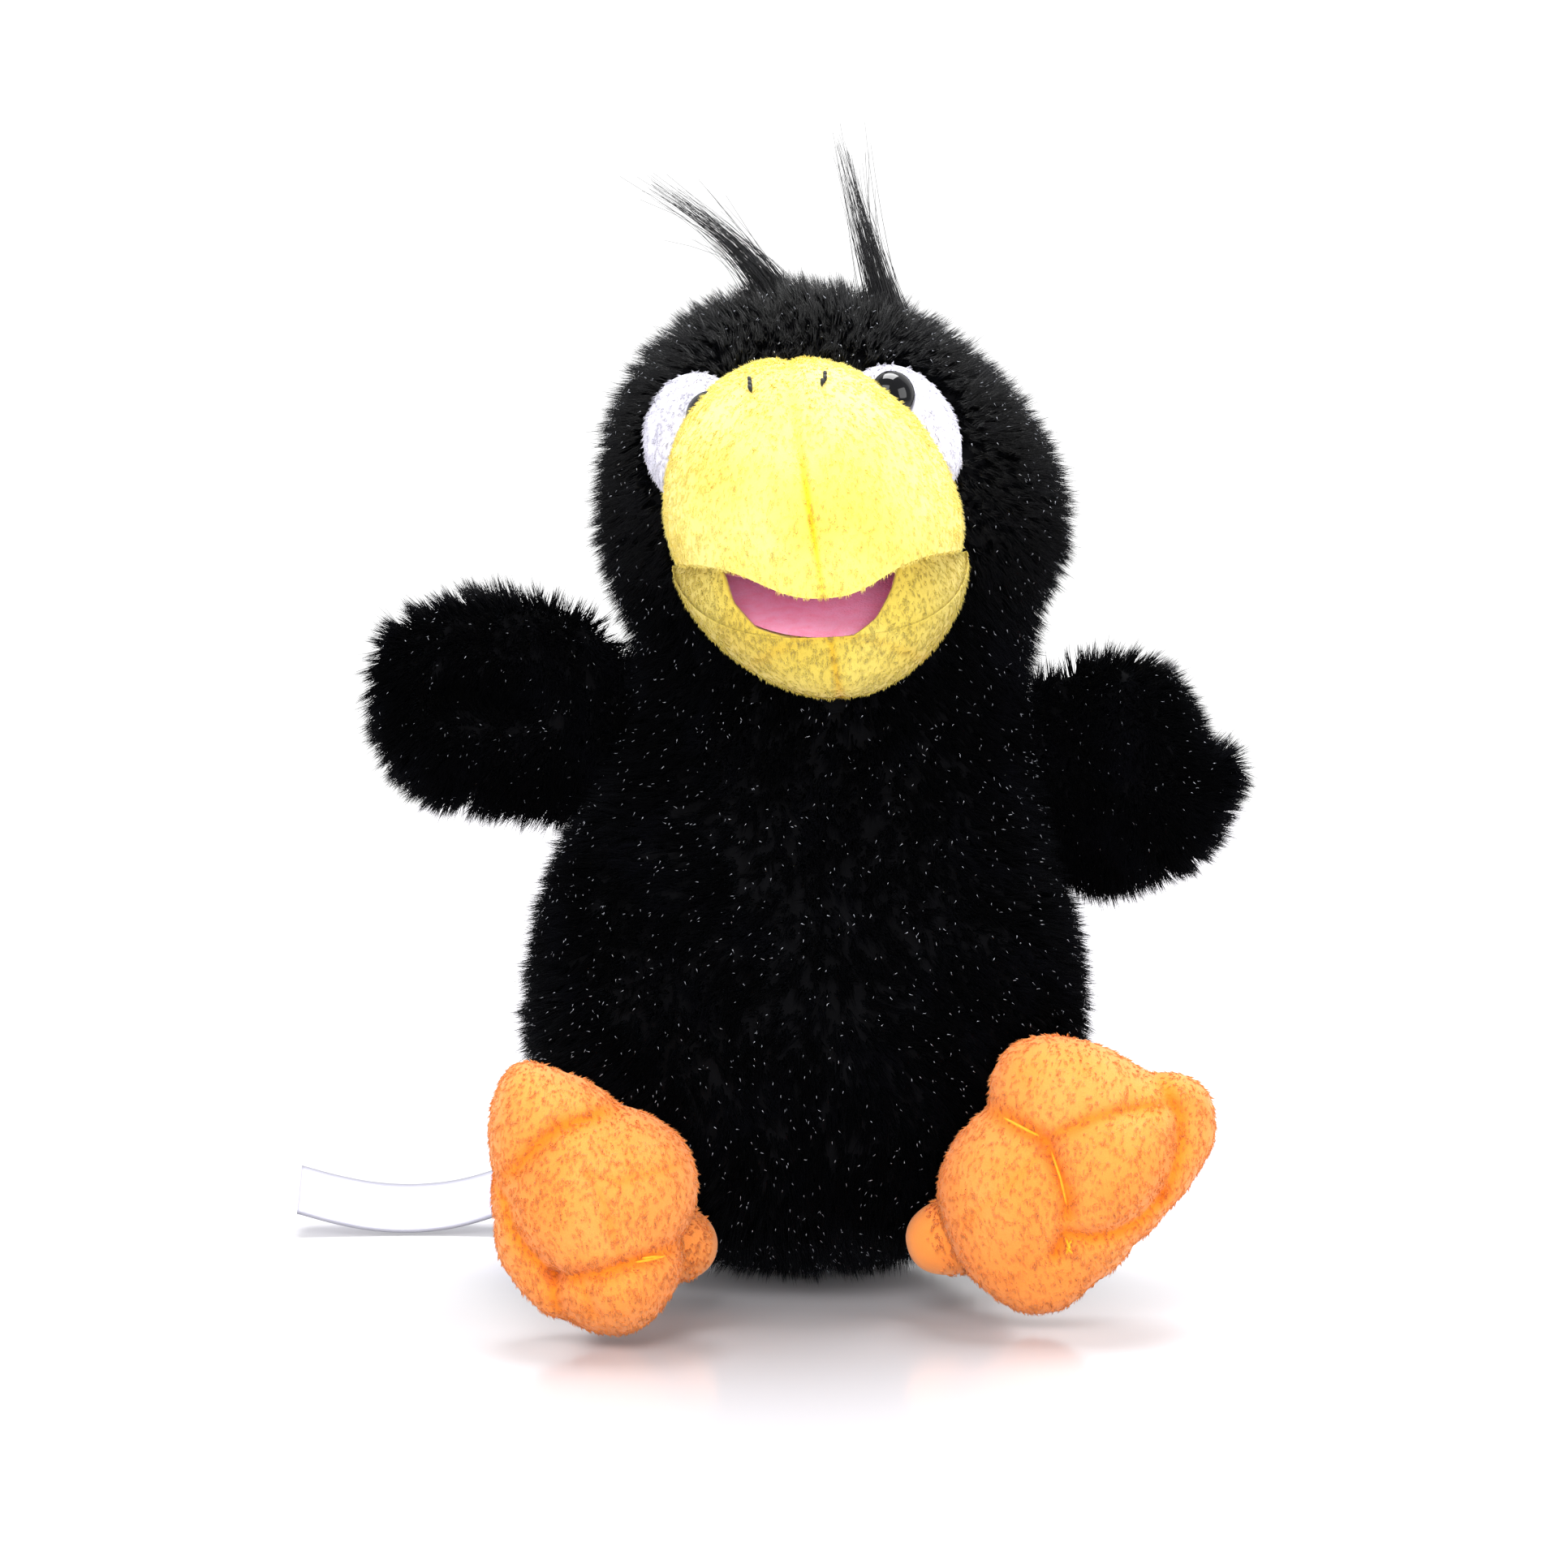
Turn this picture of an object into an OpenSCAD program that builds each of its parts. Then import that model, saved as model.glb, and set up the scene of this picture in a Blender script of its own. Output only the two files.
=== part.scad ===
// Moving mouth hand puppet: a seated long-pile plush bird with a sewn beak,
// two wings and two stuffed feet. Millimetres, +Z up, the puppet faces -Y.
// Origin: centre of the flat patch of the seat, on the surface it sits on.
// Left and right are the puppet's own, so its left side is +X.

/* [Body] */
// Thickness of the long-pile cover, backing and pile together
fur_wall = 4; // [3:0.5:5]
// Height of the centre that the head turns and nods about
neck_z = 115; // [113:1:116]
// Sideways place of the neck and of the head's turning centre
neck_x = 6.5; // [5:0.5:8]
// Radius of the ball that ends the body cover at the neck
neck_ball = 57; // [56.5:0.5:57.5]
// Radius of the hand sleeve
sleeve_r = 27; // [22:1:28]
// Radius of the hand opening in the back
opening_r = 27; // [24:1:28]

/* [Beak] */
// Half width of the upper beak at its root
beak_w = 35.6; // [33:0.2:38]
// How far the upper beak stands out of the face
beak_len = 53; // [48:1:55]
// Height of the upper beak above the mouth
beak_h = 45.5; // [42:0.5:49]
// Thickness of the short-pile beak plush
plush_wall = 2; // [1.5:0.5:2.5]
// How far the mouth hangs open at rest, in degrees
mouth_open = 18; // [12:1:20]

/* [Eyes] */
// Diameter of the domed safety eyes
eye_d = 12; // [9:0.5:14]
// Diameter of an eye's locking shank
shank_d = 4; // [3:0.5:4.5]

/* [Wings and feet] */
// Length of the wings against the pattern's
wing_scale = 1; // [0.9:0.02:1.04]
// Radius of the short leg tubes
leg_r = 9; // [7:0.5:9.5]

/* [Hidden] */

fur_black = [0.05, 0.05, 0.06];
plush_yellow = [0.96, 0.9, 0.32];
plush_orange = [0.95, 0.6, 0.22];
plush_white = [0.93, 0.92, 0.96];
fleece_pink = [0.93, 0.45, 0.56];
fibre_white = [0.9, 0.9, 0.88];
lining_black = [0.12, 0.12, 0.14];
eye_black = [0.02, 0.02, 0.02];
thread_orange = [0.98, 0.55, 0.08];

around = 28;            // points round the body and the head
soft_gap = 0.4;         // air kept between soft pieces of one body
joint_gap = 1.6;        // air kept between the body's and the head's covers
neck = [neck_x, 0, neck_z];

// Body sections: height, half width, half depth, centre x, centre y
body_rows = [[0, 17, 16, 0, -2], [2.5, 27, 26, 0, -2], [8, 38.5, 37.5, 0, -2], [18, 51, 50, 0, -2],
             [32, 61.5, 57, 0, -3], [50, 68.5, 61, 0, -3], [64, 70.5, 62, 0, -3], [84, 68, 59, 0.5, -2],
             [104, 62, 54.5, 0.5, -1], [120, 57, 50.5, 2.5, 0], [132, 53, 47.5, 5.2, 0]];
body_rim = [51, 46.3, neck_x, 0];
// Head sections, from the rim of the neck to the crown
head_rim = [50.2, 45.5, neck_x, 0];
head_rows = [[158, 51.5, 46.5, 6.5, 0], [168, 55, 48.5, 6.5, -1], [182, 58.8, 50.5, 7, -2],
             [198, 57.8, 50.5, 6, -2], [212, 53, 47.5, 4, -2], [223, 45.5, 42, 1.8, -1],
             [232, 37, 34.5, 0.6, 0], [239, 27, 25, 0, 1], [243.5, 15.5, 14.5, -1.2, 2],
             [245.5, 3, 3, -1.6, 2]];

// ---- point rules -------------------------------------------------------

// A ring of points on an ellipse at one height; inset shrinks it
function ring(row, inset = 0) =
    [for (i = [0 : around - 1]) let (a = 360 * i / around)
        [row[3] + (row[1] - inset) * cos(a), row[4] + (row[2] - inset) * sin(a), row[0]]];
// A ring whose height follows the ball about the neck, so covers can turn past each other
function ball_ring(rim, r, inset = 0) =
    [for (i = [0 : around - 1]) let (a = 360 * i / around, x = (rim[0] - inset) * cos(a),
                                     y = (rim[1] - inset) * sin(a))
        [rim[2] + x, rim[3] + y, neck_z + sqrt(r * r - x * x - y * y)]];
// Lifts a row so that a wall keeps its thickness under a closed end
function lifted(row, dz) = [row[0] + dz, row[1], row[2], row[3], row[4]];

// The face frame: x across, y forwards is negative, z up from the mouth's hinge line.
// The face leans over: its middle line drifts sideways and its mouth line rises to the left.
jaw_hinge = [3, -44, 183];
lean = 0.16;
tilt = 0.05;
function face(p) = [jaw_hinge[0] + p[0] - lean * p[2], jaw_hinge[1] + p[1], jaw_hinge[2] + p[2] + tilt * p[0]];

// Sum of a list
function total(v, i = 0) = i < len(v) ? v[i] + total(v, i + 1) : 0;
function middle(points) = [for (k = [0 : 2]) total([for (p = points) p[k]]) / len(points)];

// ---- skins -------------------------------------------------------------

// Closed skin through rows of points; every row has the same count and the ends are fans
module skin(rows) {
    m = len(rows);
    n = len(rows[0]);
    points = [for (row = rows) for (p = row) p, middle(rows[0]), middle(rows[m - 1])];
    sides = [for (i = [0 : m - 2]) for (j = [0 : n - 1]) let (k = (j + 1) % n)
        each [[i * n + j, (i + 1) * n + j, (i + 1) * n + k], [i * n + j, (i + 1) * n + k, i * n + k]]];
    start = [for (j = [0 : n - 1]) [m * n, j, (j + 1) % n]];
    end = [for (j = [0 : n - 1]) [m * n + 1, (m - 1) * n + (j + 1) % n, (m - 1) * n + j]];
    polyhedron(points, concat(sides, start, end));
}

// Solid form of the body, inset from its outside
module body_form(inset = 0) {
    rim_r = neck_ball - (inset > 0 ? soft_gap : 0);
    skin(concat([for (i = [0 : len(body_rows) - 1])
                    ring(lifted(body_rows[i], inset * (1 - i / (len(body_rows) - 1))), inset)],
                [ball_ring(body_rim, rim_r, inset)]));
}
// Solid form of the head, inset from its outside
module head_form(inset = 0) {
    skin(concat([ball_ring(head_rim, neck_ball + joint_gap, inset)],
                [for (i = [0 : len(head_rows) - 1]) let (row = head_rows[i], k = i / (len(head_rows) - 1))
                    ring(lifted(row, -inset * k * k), min(inset, row[1] - 2))]));
}
// Wall of the body: the outside rows up to the rim, then the inside rows back down
module body_wall() {
    last = len(body_rows) - 1;
    skin(concat([for (i = [0 : last]) ring(body_rows[i])], [ball_ring(body_rim, neck_ball)],
                [ball_ring(body_rim, neck_ball, fur_wall)],
                [for (i = [last : -1 : 0]) ring(lifted(body_rows[i], fur_wall * (1 - i / last)), fur_wall)]));
}
// Wall of the head, closed at the crown and open at the neck
module head_wall() {
    last = len(head_rows) - 1;
    skin(concat([for (i = [last : -1 : 0]) let (row = head_rows[i], k = i / last)
                    ring(lifted(row, -fur_wall * k * k), min(fur_wall, row[1] - 2))],
                [ball_ring(head_rim, neck_ball + joint_gap, fur_wall)],
                [ball_ring(head_rim, neck_ball + joint_gap)], [for (i = [0 : last]) ring(head_rows[i])]));
}

// ---- body --------------------------------------------------------------

sleeve_wall = 1.2;
sleeve_floor = 17;
sleeve_top = 142;
sleeve_x = 3;
opening_z = 50;
back_y = 64;

// Outline of the sleeve: wide in the belly, narrower at the neck; grow adds clearance
module sleeve_profile(grow = 0, top = sleeve_top) {
    r = sleeve_r + grow;
    polygon([[0, sleeve_floor - grow], [r - 6, sleeve_floor - grow], [r, sleeve_floor + 6],
             [r, 90], [r - 4, 118], [r - 4, top], [0, top]]);
}
module opening_bore(r, y0, y1) {
    translate([sleeve_x, y0, opening_z]) rotate([-90, 0, 0]) cylinder(r = r, h = y1 - y0, $fn = 48);
}
module body_cover() {
    color(fur_black) difference() {
        body_wall();
        opening_bore(opening_r + 2.4, 20, back_y + 10);
    }
}
module body_stuffing() {
    color(fibre_white) difference() {
        body_form(fur_wall + soft_gap);
        translate([sleeve_x, 0, 0]) rotate_extrude($fn = 40) sleeve_profile(soft_gap, 220);
        translate([neck_x, 0, 128]) cylinder(r = 24.2, h = 60, $fn = 40);
        opening_bore(opening_r + 2.4, 5, back_y + 10);
        translate([sleeve_x, -4, 0]) bag(soft_gap);
    }
}
module sleeve_lining() {
    color(lining_black) difference() {
        translate([sleeve_x, 0, 0]) rotate_extrude($fn = 48) difference() {
            sleeve_profile();
            sleeve_profile(-sleeve_wall, sleeve_top + 20);
        }
        opening_bore(opening_r, 5, back_y);
    }
}
// Bound edge of the hand opening, from the sleeve out to the fur of the back
module opening_hem() {
    color(lining_black) difference() {
        intersection() {
            opening_bore(opening_r + 2, 15, back_y);
            body_form(0.5);
        }
        opening_bore(opening_r, 0, back_y + 10);
        translate([sleeve_x, 0, 0]) rotate_extrude($fn = 48) sleeve_profile(0.2);
    }
}
module bag(grow = 0) {
    rotate_extrude($fn = 36) translate([0, 7.5 - grow]) intersection() {
        offset(r = 4 + grow, $fn = 20) translate([0, 4 + grow]) square([17, 0.5], center = false);
        square([60, 60]);
    }
}
module seat_pellet_bag() {
    color("tan") translate([sleeve_x, -4, 0]) bag();
}
// Blank satin tape sewn into the side seam near the seat
label_w = 19;
label_t = 0.5;
label_route = [[-50, 30, 22], [-59, 36, 18.5], [-69, 39.5, 14], [-79, 41, 9.5], [-90, 41.5, 6.4],
               [-100, 41.5, 5.2], [-110, 41, 6], [-120, 40.5, 8], [-129, 40, 10.6]];
label_lay = 62; // degrees that the tape's face leans back from upright
module care_label() {
    lean_y = sin(label_lay);
    lean_z = cos(label_lay);
    half = label_w / 2;
    color("white") skin([for (p = label_route)
        [for (c = [[-half, -label_t / 2], [half, -label_t / 2], [half, label_t / 2], [-half, label_t / 2]])
            [p[0], p[1] + c[0] * lean_y + c[1] * lean_z, p[2] + c[0] * lean_z - c[1] * lean_y]]]);
}

// ---- neck and head -----------------------------------------------------

module neck_lining() {
    color(lining_black) translate([neck_x, 0, 0]) rotate_extrude($fn = 48)
        polygon([[22, 146], [23.2, 146], [23.2, 158], [22, 158]]);
}

// Upper beak: spread across from the mouth's edge over the ridge (phi 0 to 180)
// and along from the root to the tip (psi 0 to 90); its lip sags to a hooked tip.
beak_root = 14;  // how far the root runs back into the face
hook = 6;
function beak_point(phi, psi, inset = 0) =
    let (w = beak_w - inset, h = beak_h - inset, l = beak_len - inset, c = pow(max(cos(psi), 0), 0.8))
    face([w * cos(phi) * c, -l * sin(psi), h * pow(sin(phi), 0.9) * c - hook * pow(sin(psi), 14)]);
function beak_back(phi, back, inset = 0) =
    let (w = beak_w - inset, h = beak_h - inset) face([w * cos(phi), back, h * pow(sin(phi), 0.9)]);
psi_steps = [0, 14, 28, 42, 55, 67, 77, 84, 88];
function beak_row(i, from, to, steps, inset) =
    [for (j = [0 : steps]) let (phi = from + (to - from) * j / steps)
        i < 0 ? beak_back(phi, beak_root, inset) : beak_point(phi, psi_steps[i], inset)];
// Solid of the upper beak, closed by the mouth plane
module beak_form(inset = 0) {
    skin([for (i = [-1 : len(psi_steps) - 1]) beak_row(i, 0, 180, 16, inset)]);
}
// Half of the upper beak's wall between two spread angles
module beak_half(from, to) {
    skin([for (i = [-1 : len(psi_steps) - 1])
        concat(beak_row(i, from, to, 8, 0), beak_row(i, to, from, 8, plush_wall))]);
}
module upper_beak_left_panel() {
    color(plush_yellow) difference() {
        beak_half(0, 89.6);
        head_form(-soft_gap);
        eye_room(1);
    }
}
module upper_beak_right_panel() {
    color(plush_yellow) difference() {
        beak_half(90.4, 180);
        head_form(-soft_gap);
        eye_room(-1);
    }
}
finger_z = 21; // top of the finger pocket above the mouth's hinge line
module upper_beak_stuffing() {
    color(fibre_white) difference() {
        beak_form(plush_wall + soft_gap);
        head_form(-soft_gap);
        for (side = [-1, 1]) eye_room(side);
        translate([-60, -120, 100]) cube([140, 120, jaw_hinge[2] + finger_z - 100]);
    }
}

// Plan of the mouth: a half ellipse with its straight side on the hinge line
function mouth_plan(w, l, steps = 14) = [for (j = [0 : steps]) let (a = 180 * j / steps) [w * cos(a), -l * sin(a)]];
// Flat leaf of the mouth between two heights above the mouth plane
module mouth_leaf(w, l, z0, z1, back = 0) {
    plan = concat([[w, back]], mouth_plan(w, l), [[-w, back]]);
    skin([for (z = [z1, z0]) [for (p = plan) face([p[0], p[1], z])]]);
}
upper_leaf_w = beak_w - plush_wall - 1.6;
upper_leaf_l = beak_len - plush_wall - 9;
module upper_mouth_lining() {
    color(fleece_pink) mouth_leaf(upper_leaf_w, upper_leaf_l, 0.6, 1.8);
}
module upper_mouth_plate() {
    color("gray") mouth_leaf(upper_leaf_w - 1.5, upper_leaf_l - 1.5, 2, 3.4);
}

// The face patches: ovals let into the fur beside the beak
patch_w = 13.8;
patch_h = 16.5;
patch_x = 23.8;
patch_z = 26;
function oval(w, h, lean_deg) = [for (j = [0 : 23]) let (a = 15 * j)
    [w * cos(a) * cos(lean_deg) - h * sin(a) * sin(lean_deg), w * cos(a) * sin(lean_deg) + h * sin(a) * cos(lean_deg)]];
module patch_prism(side, grow = 0) {
    c = face([side * patch_x, 0, patch_z]);
    translate([c[0], -10, c[2]]) rotate([90, 0, 0]) linear_extrude(60)
        polygon(oval(patch_w + grow, patch_h + grow, side * 18));
}
module eye_patch(side) {
    color(plush_white) difference() {
        intersection() {
            patch_prism(side);
            difference() {
                head_form(0.8);
                head_form(3);
            }
        }
        beak_form(-soft_gap);
        eye_room(side);
    }
}
// Places its children on an eye's centre, +Z out of the face
eye_x = 23.2;
eye_y = 2.2;
eye_z = 35.6;
module eye_at(side) {
    translate(face([side * eye_x, eye_y, eye_z])) rotate([0, 0, side * 32]) rotate([90 - 12, 0, 0]) children();
}
eye_r = eye_d / 2;
dome_h = 4.6;
dome_r = (eye_r * eye_r + dome_h * dome_h) / (2 * dome_h);
shank_l = 12;
module eye(side) {
    color(eye_black) eye_at(side) {
        intersection() {
            translate([0, 0, dome_h - dome_r]) sphere(r = dome_r, $fn = 48);
            cylinder(r = eye_r, h = dome_h + 1, $fn = 48);
        }
        translate([0, 0, -shank_l]) cylinder(r = shank_d / 2, h = shank_l, $fn = 32);
    }
}
// Room for an eye in the cloth round it: its shank and its pressed-in dome
module eye_room(side) {
    eye_at(side) {
        translate([0, 0, -20]) cylinder(r = shank_d / 2 + 0.3, h = 40, $fn = 24);
        translate([0, 0, -0.3]) cylinder(r = eye_r + 0.3, h = 12, $fn = 32);
    }
}
module eye_washer(side) {
    color("whitesmoke") eye_at(side) translate([0, 0, -9]) difference() {
        cylinder(r = 6, h = 1.2, $fn = 40);
        translate([0, 0, -1]) cylinder(r = shank_d / 2 + 0.05, h = 4, $fn = 32);
    }
}
// Two short upright stitches near the root of the ridge
nostril_x = [-9.5, 7.5];
module nostril_stitches() {
    color(eye_black) for (x = nostril_x) {
        phi = acos(x / beak_w);
        top = beak_point(phi, 17, -0.8);
        low = beak_point(phi, 24, -0.8);
        hull() {
            translate(top) sphere(r = 0.6, $fn = 8);
            translate(low) sphere(r = 0.6, $fn = 8);
        }
    }
}
module head_cover() {
    color(fur_black) difference() {
        head_wall();
        beak_form(-soft_gap);
        // room for the jaw to swing under the face
        intersection() {
            translate([jaw_hinge[0] - jaw_w - 2, jaw_hinge[1], jaw_hinge[2]]) rotate([0, 90, 0])
                cylinder(r = 46, h = 2 * jaw_w + 4, $fn = 40);
            translate([-60, -100, 0]) cube([120, 90, jaw_hinge[2] + 1.6]);
        }
        for (side = [-1, 1]) {
            patch_prism(side, 0.3);
            eye_room(side);
        }
    }
}
module head_stuffing() {
    color(fibre_white) difference() {
        head_form(fur_wall + soft_gap);
        translate([-100, -100, 100]) cube([200, 200, jaw_hinge[2] + finger_z - 100]);
        beak_form(-soft_gap);
        for (side = [-1, 1]) eye_at(side) translate([0, 0, -14]) cylinder(r = 6.4, h = 30, $fn = 24);
    }
}
// Long-fibre crest tufts, each a bent cone from its root to its tip
tuft_r = 5.5;
module tuft(root, bend, tip) {
    function path(t) = (1 - t) * (1 - t) * root + 2 * t * (1 - t) * bend + t * t * tip;
    skin([for (i = [0 : 6]) let (t = i / 6, c = path(t), r = tuft_r * pow(1 - t, 1.2) + 0.35)
        [for (j = [0 : 9]) [c[0] + r * cos(36 * j), c[1] + r * sin(36 * j), c[2]]]]);
}
module right_crest_tuft() {
    color(fur_black) tuft([-8, 2, 245.8], [-15, 0, 256], [-37, -4, 268.5]);
}
module left_crest_tuft() {
    color(fur_black) difference() {
        tuft([21, 2, 240], [16, 1, 256], [8, -2, 279]);
        head_form(-0.2);
    }
}

// ---- jaw ---------------------------------------------------------------

jaw_w = 35;
jaw_len = 47;
jaw_depth = 25;
// Lower beak bowl, drawn shut and then swung open by the rest angle
function jaw_swing(p) = let (a = mouth_open) [p[0], p[1] * cos(a) - p[2] * sin(a), p[1] * sin(a) + p[2] * cos(a)];
function jaw_point(phi, psi, inset = 0) =
    let (w = jaw_w - inset, d = jaw_depth - inset, l = jaw_len - inset, y0 = 4 + 19 * sin(phi), c = max(cos(psi), 0))
    face(jaw_swing([w * cos(phi) * pow(c, 0.75), -y0 - (l - y0) * sin(psi), -1 - d * pow(sin(phi), 1.15) * pow(c, 0.5)]));
jaw_steps = [0, 16, 32, 47, 60, 71, 80, 86];
function jaw_row(i, from, to, steps, inset) =
    [for (j = [0 : steps]) let (phi = from + (to - from) * j / steps) jaw_point(phi, jaw_steps[i], inset)];
module jaw_form(inset = 0) {
    skin([for (i = [0 : len(jaw_steps) - 1]) jaw_row(i, 180, 0, 16, inset)]);
}
module jaw_half(from, to) {
    skin([for (i = [0 : len(jaw_steps) - 1])
        concat(jaw_row(i, from, to, 8, 0), jaw_row(i, to, from, 8, plush_wall))]);
}
module lower_beak_left_panel() {
    color(plush_yellow) jaw_half(89.6, 0);
}
module lower_beak_right_panel() {
    color(plush_yellow) jaw_half(180, 90.4);
}
thumb_floor = 15; // depth of the thumb pocket under the mouth
module jaw_slab(z0, z1) {
    plan = [[-60, 30], [60, 30], [60, -90], [-60, -90]];
    skin([for (z = [z1, z0]) [for (p = plan) face(jaw_swing([p[0], p[1], z]))]]);
}
module lower_beak_stuffing() {
    color(fibre_white) difference() {
        jaw_form(plush_wall + soft_gap);
        jaw_slab(-thumb_floor, 20);
    }
}
jaw_leaf_w = jaw_w - plush_wall - 3.5;
jaw_leaf_l = jaw_len - plush_wall - 3;
module jaw_leaf(w, l, z0, z1) {
    plan = [for (p = mouth_plan(w, l)) [p[0], min(p[1], -3.5)]];
    skin([for (z = [z1, z0]) [for (p = plan) face(jaw_swing([p[0], p[1], z]))]]);
}
module lower_mouth_lining() {
    color(fleece_pink) jaw_leaf(jaw_leaf_w, jaw_leaf_l, -3, -1.8);
}
module lower_mouth_plate() {
    color("gray") jaw_leaf(jaw_leaf_w - 1.5, jaw_leaf_l - 2, -4.6, -3.2);
}

// ---- wings -------------------------------------------------------------

// Wing sections: distance from the seam, height above and below the middle line, half thickness
left_wing_rows = [[0, 21.5, 21.5, 2], [6, 29, 31, 6], [13.5, 31.3, 32, 10.5], [20, 31, 31, 13.5],
                  [27, 28.7, 29.3, 16], [32, 23.5, 27.4, 15.5], [35, 15.5, 25.3, 14], [38, 8, 22, 12.5],
                  [42, 6, 16.5, 10.5], [45.5, 4.5, 11, 8], [48.2, 1.5, 6.5, 4.5], [49.3, -1.5, 3.6, 1.5]];
right_wing_rows = [[0, 21.5, 21.5, 2], [7, 28, 26, 6.5], [15, 31, 27.8, 11], [27, 31.5, 28.8, 15.5],
                   [35, 30, 29.8, 16], [41, 28, 28.3, 15.5], [47, 25.5, 25.2, 14.5], [52, 22, 20, 12.5],
                   [56.5, 17.5, 12, 9.5], [59.5, 12, 5, 6], [61, 7, -1.5, 2]];
// Side, middle of the seam, angle of the seam from upright, sweep forwards, sections
left_wing_place = [1, [63.2, -1, 122.5], 9, 8, left_wing_rows];
right_wing_place = [-1, [-52.3, -1, 134], 16, 8, right_wing_rows];
module wing_form(place, inset = 0) {
    side = place[0];
    rows = place[4];
    end = rows[len(rows) - 1][0];
    translate(place[1]) rotate([0, -side * place[2], 0]) rotate([0, 0, -side * place[3]])
        mirror([side < 0 ? 1 : 0, 0, 0])
            skin([for (r = rows)
                let (h = max((r[1] + r[2]) / 2 - inset, 1), t = max(r[3] - inset, 0.8), lift = (r[1] - r[2]) / 2,
                     s = wing_scale * (inset + r[0] * (end - 2 * inset) / end))
                [for (j = [0 : 15]) let (a = -22.5 * j) [s, t * sin(a), lift + h * cos(a)]]]);
}
module wing_cover(place) {
    color(fur_black) difference() {
        wing_form(place);
        wing_form(place, 3);
    }
}
module wing_stuffing(place) {
    color(fibre_white) wing_form(place, 3.4);
}

// ---- legs and feet -----------------------------------------------------

// A foot is a pillow: its outline seen from the front (x across, z up, clockwise from its middle),
// the place of its middle, and the bulges of its sole (x, z, size, how far forward)
left_foot = [[[33.5, 8], [29.5, 0.5], [22, -9.5], [14, -18], [3.5, -28], [-3, -34], [-12, -35.4], [-19.5, -31.5],
              [-28.5, -22.5], [-32.5, -12], [-34, -3.5], [-31.5, 4.5], [-26, 12], [-21.5, 16], [-21.3, 22],
              [-17, 30.5], [-9.5, 33.3], [0, 32.5], [9.5, 29], [16, 24.8], [24, 24.2], [29.5, 22], [32.5, 18]],
             [64.3, -68, 37.7],
             [[-18, -3, 13, 3.5], [9, 2, 13, 4.5], [0, 24, 12, 2], [29, 12, 7, -4], [-6, -25, 12, -1.5]],
             [[[-17, 15], [-10, 11.5]], [[-6, 6], [-3.4, -4]], [[-3, -13.5], [-2.6, -16.5]]]];
right_foot = [[[25.2, 3], [24.6, -2], [22.4, -8], [20.6, -10.5], [21.2, -18.5], [19, -23.5], [15, -29], [9, -33],
               [4, -33.6], [-2.5, -32], [-6.5, -30], [-11, -29], [-15.5, -25.5], [-19.5, -20.5], [-22.8, -15.5],
               [-24, -5.5], [-24.2, 6.5], [-25.3, 14.5], [-24.7, 21.5], [-22.7, 27.7], [-18, 33], [-12.5, 32.3],
               [-8, 30.5], [-2.5, 28.8], [1.5, 26.5], [6, 22.6], [11.5, 21], [16.5, 18.2], [21.3, 14.3],
               [23.8, 10]],
              [-49.8, -84, 34.8],
              [[-2, 2, 15, 5], [14, 6, 10, 2], [-15, 22, 11, 1], [-17, -17, 9, -5], [7, -23, 10, 5]],
              [[[10, -12.2], [14, -11.4]], [[14.6, -11.3], [18, -10.8]]]];
sole_t = 17;   // how far the sole bulges from the middle
upper_t = 13;  // how far the upper bulges
// Reach of an outline at an angle
function foot_reach(outline, a) =
    lookup(a, [for (p = outline, k = [-1 : 1]) [atan2(p[1], p[0]) + 360 * k, norm(p)]]);
// How far the sole stands forward at a place on it; swell is 0 on the rim and 1 in the middle
function sole_front(foot, x, z, swell) = swell * (sole_t + total([for (b = foot[2])
    b[3] * exp(-(pow(x - b[0], 2) + pow(z - b[1], 2)) / (b[2] * b[2]))]));
function foot_ring(foot, lat, inset) =
    [for (j = [0 : 23]) let (a = -15 * j, r = (foot_reach(foot[0], a > -180 ? a : a + 360) - inset) * pow(cos(lat), 0.72),
                             x = r * cos(a), z = r * sin(a), swell = pow(abs(sin(lat)), 0.9))
        [x, lat < 0 ? -sole_front(foot, x, z, swell) + inset * swell : (upper_t - inset) * swell, z]];
module foot_form(foot, inset = 0) {
    skin([for (lat = [-84, -72, -59, -46, -34, -22, -10, 0, 14, 32, 52, 70, 82]) foot_ring(foot, lat, inset)]);
}
module foot_at(foot) {
    translate(foot[1]) children();
}
foot_wall = 1.8;
module foot_shell(foot) {
    difference() {
        foot_form(foot);
        foot_form(foot, foot_wall);
    }
}
module half_space(sign) {
    translate([-60, sign < 0 ? -60 : 0.1, -60]) cube([120, 59.9, 120]);
}
module foot_sole(foot) {
    color(plush_orange) foot_at(foot) intersection() {
        foot_shell(foot);
        half_space(-1);
    }
}
module foot_upper(foot, hip) {
    color(plush_orange) difference() {
        foot_at(foot) intersection() {
            foot_shell(foot);
            half_space(1);
        }
        leg_bar(foot, hip, leg_r + 0.3, 1);
    }
}
module foot_stuffing(foot, hip) {
    color(fibre_white) difference() {
        foot_at(foot) foot_form(foot, foot_wall + soft_gap);
        leg_bar(foot, hip, leg_r + 0.3, 1);
    }
}
// Threads laid over the sole, just off its surface
module foot_stitches(foot) {
    color(thread_orange) foot_at(foot) for (pair = foot[3]) hull() for (p = pair) {
        part = min(norm(p) / foot_reach(foot[0], atan2(p[1], p[0])), 0.99);
        swell = pow(sqrt(1 - pow(part, 2.78)), 0.9);
        translate([p[0], -sole_front(foot, p[0], p[1], swell) - 1.4, p[1]]) sphere(r = 0.45, $fn = 8);
    }
}
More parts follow.
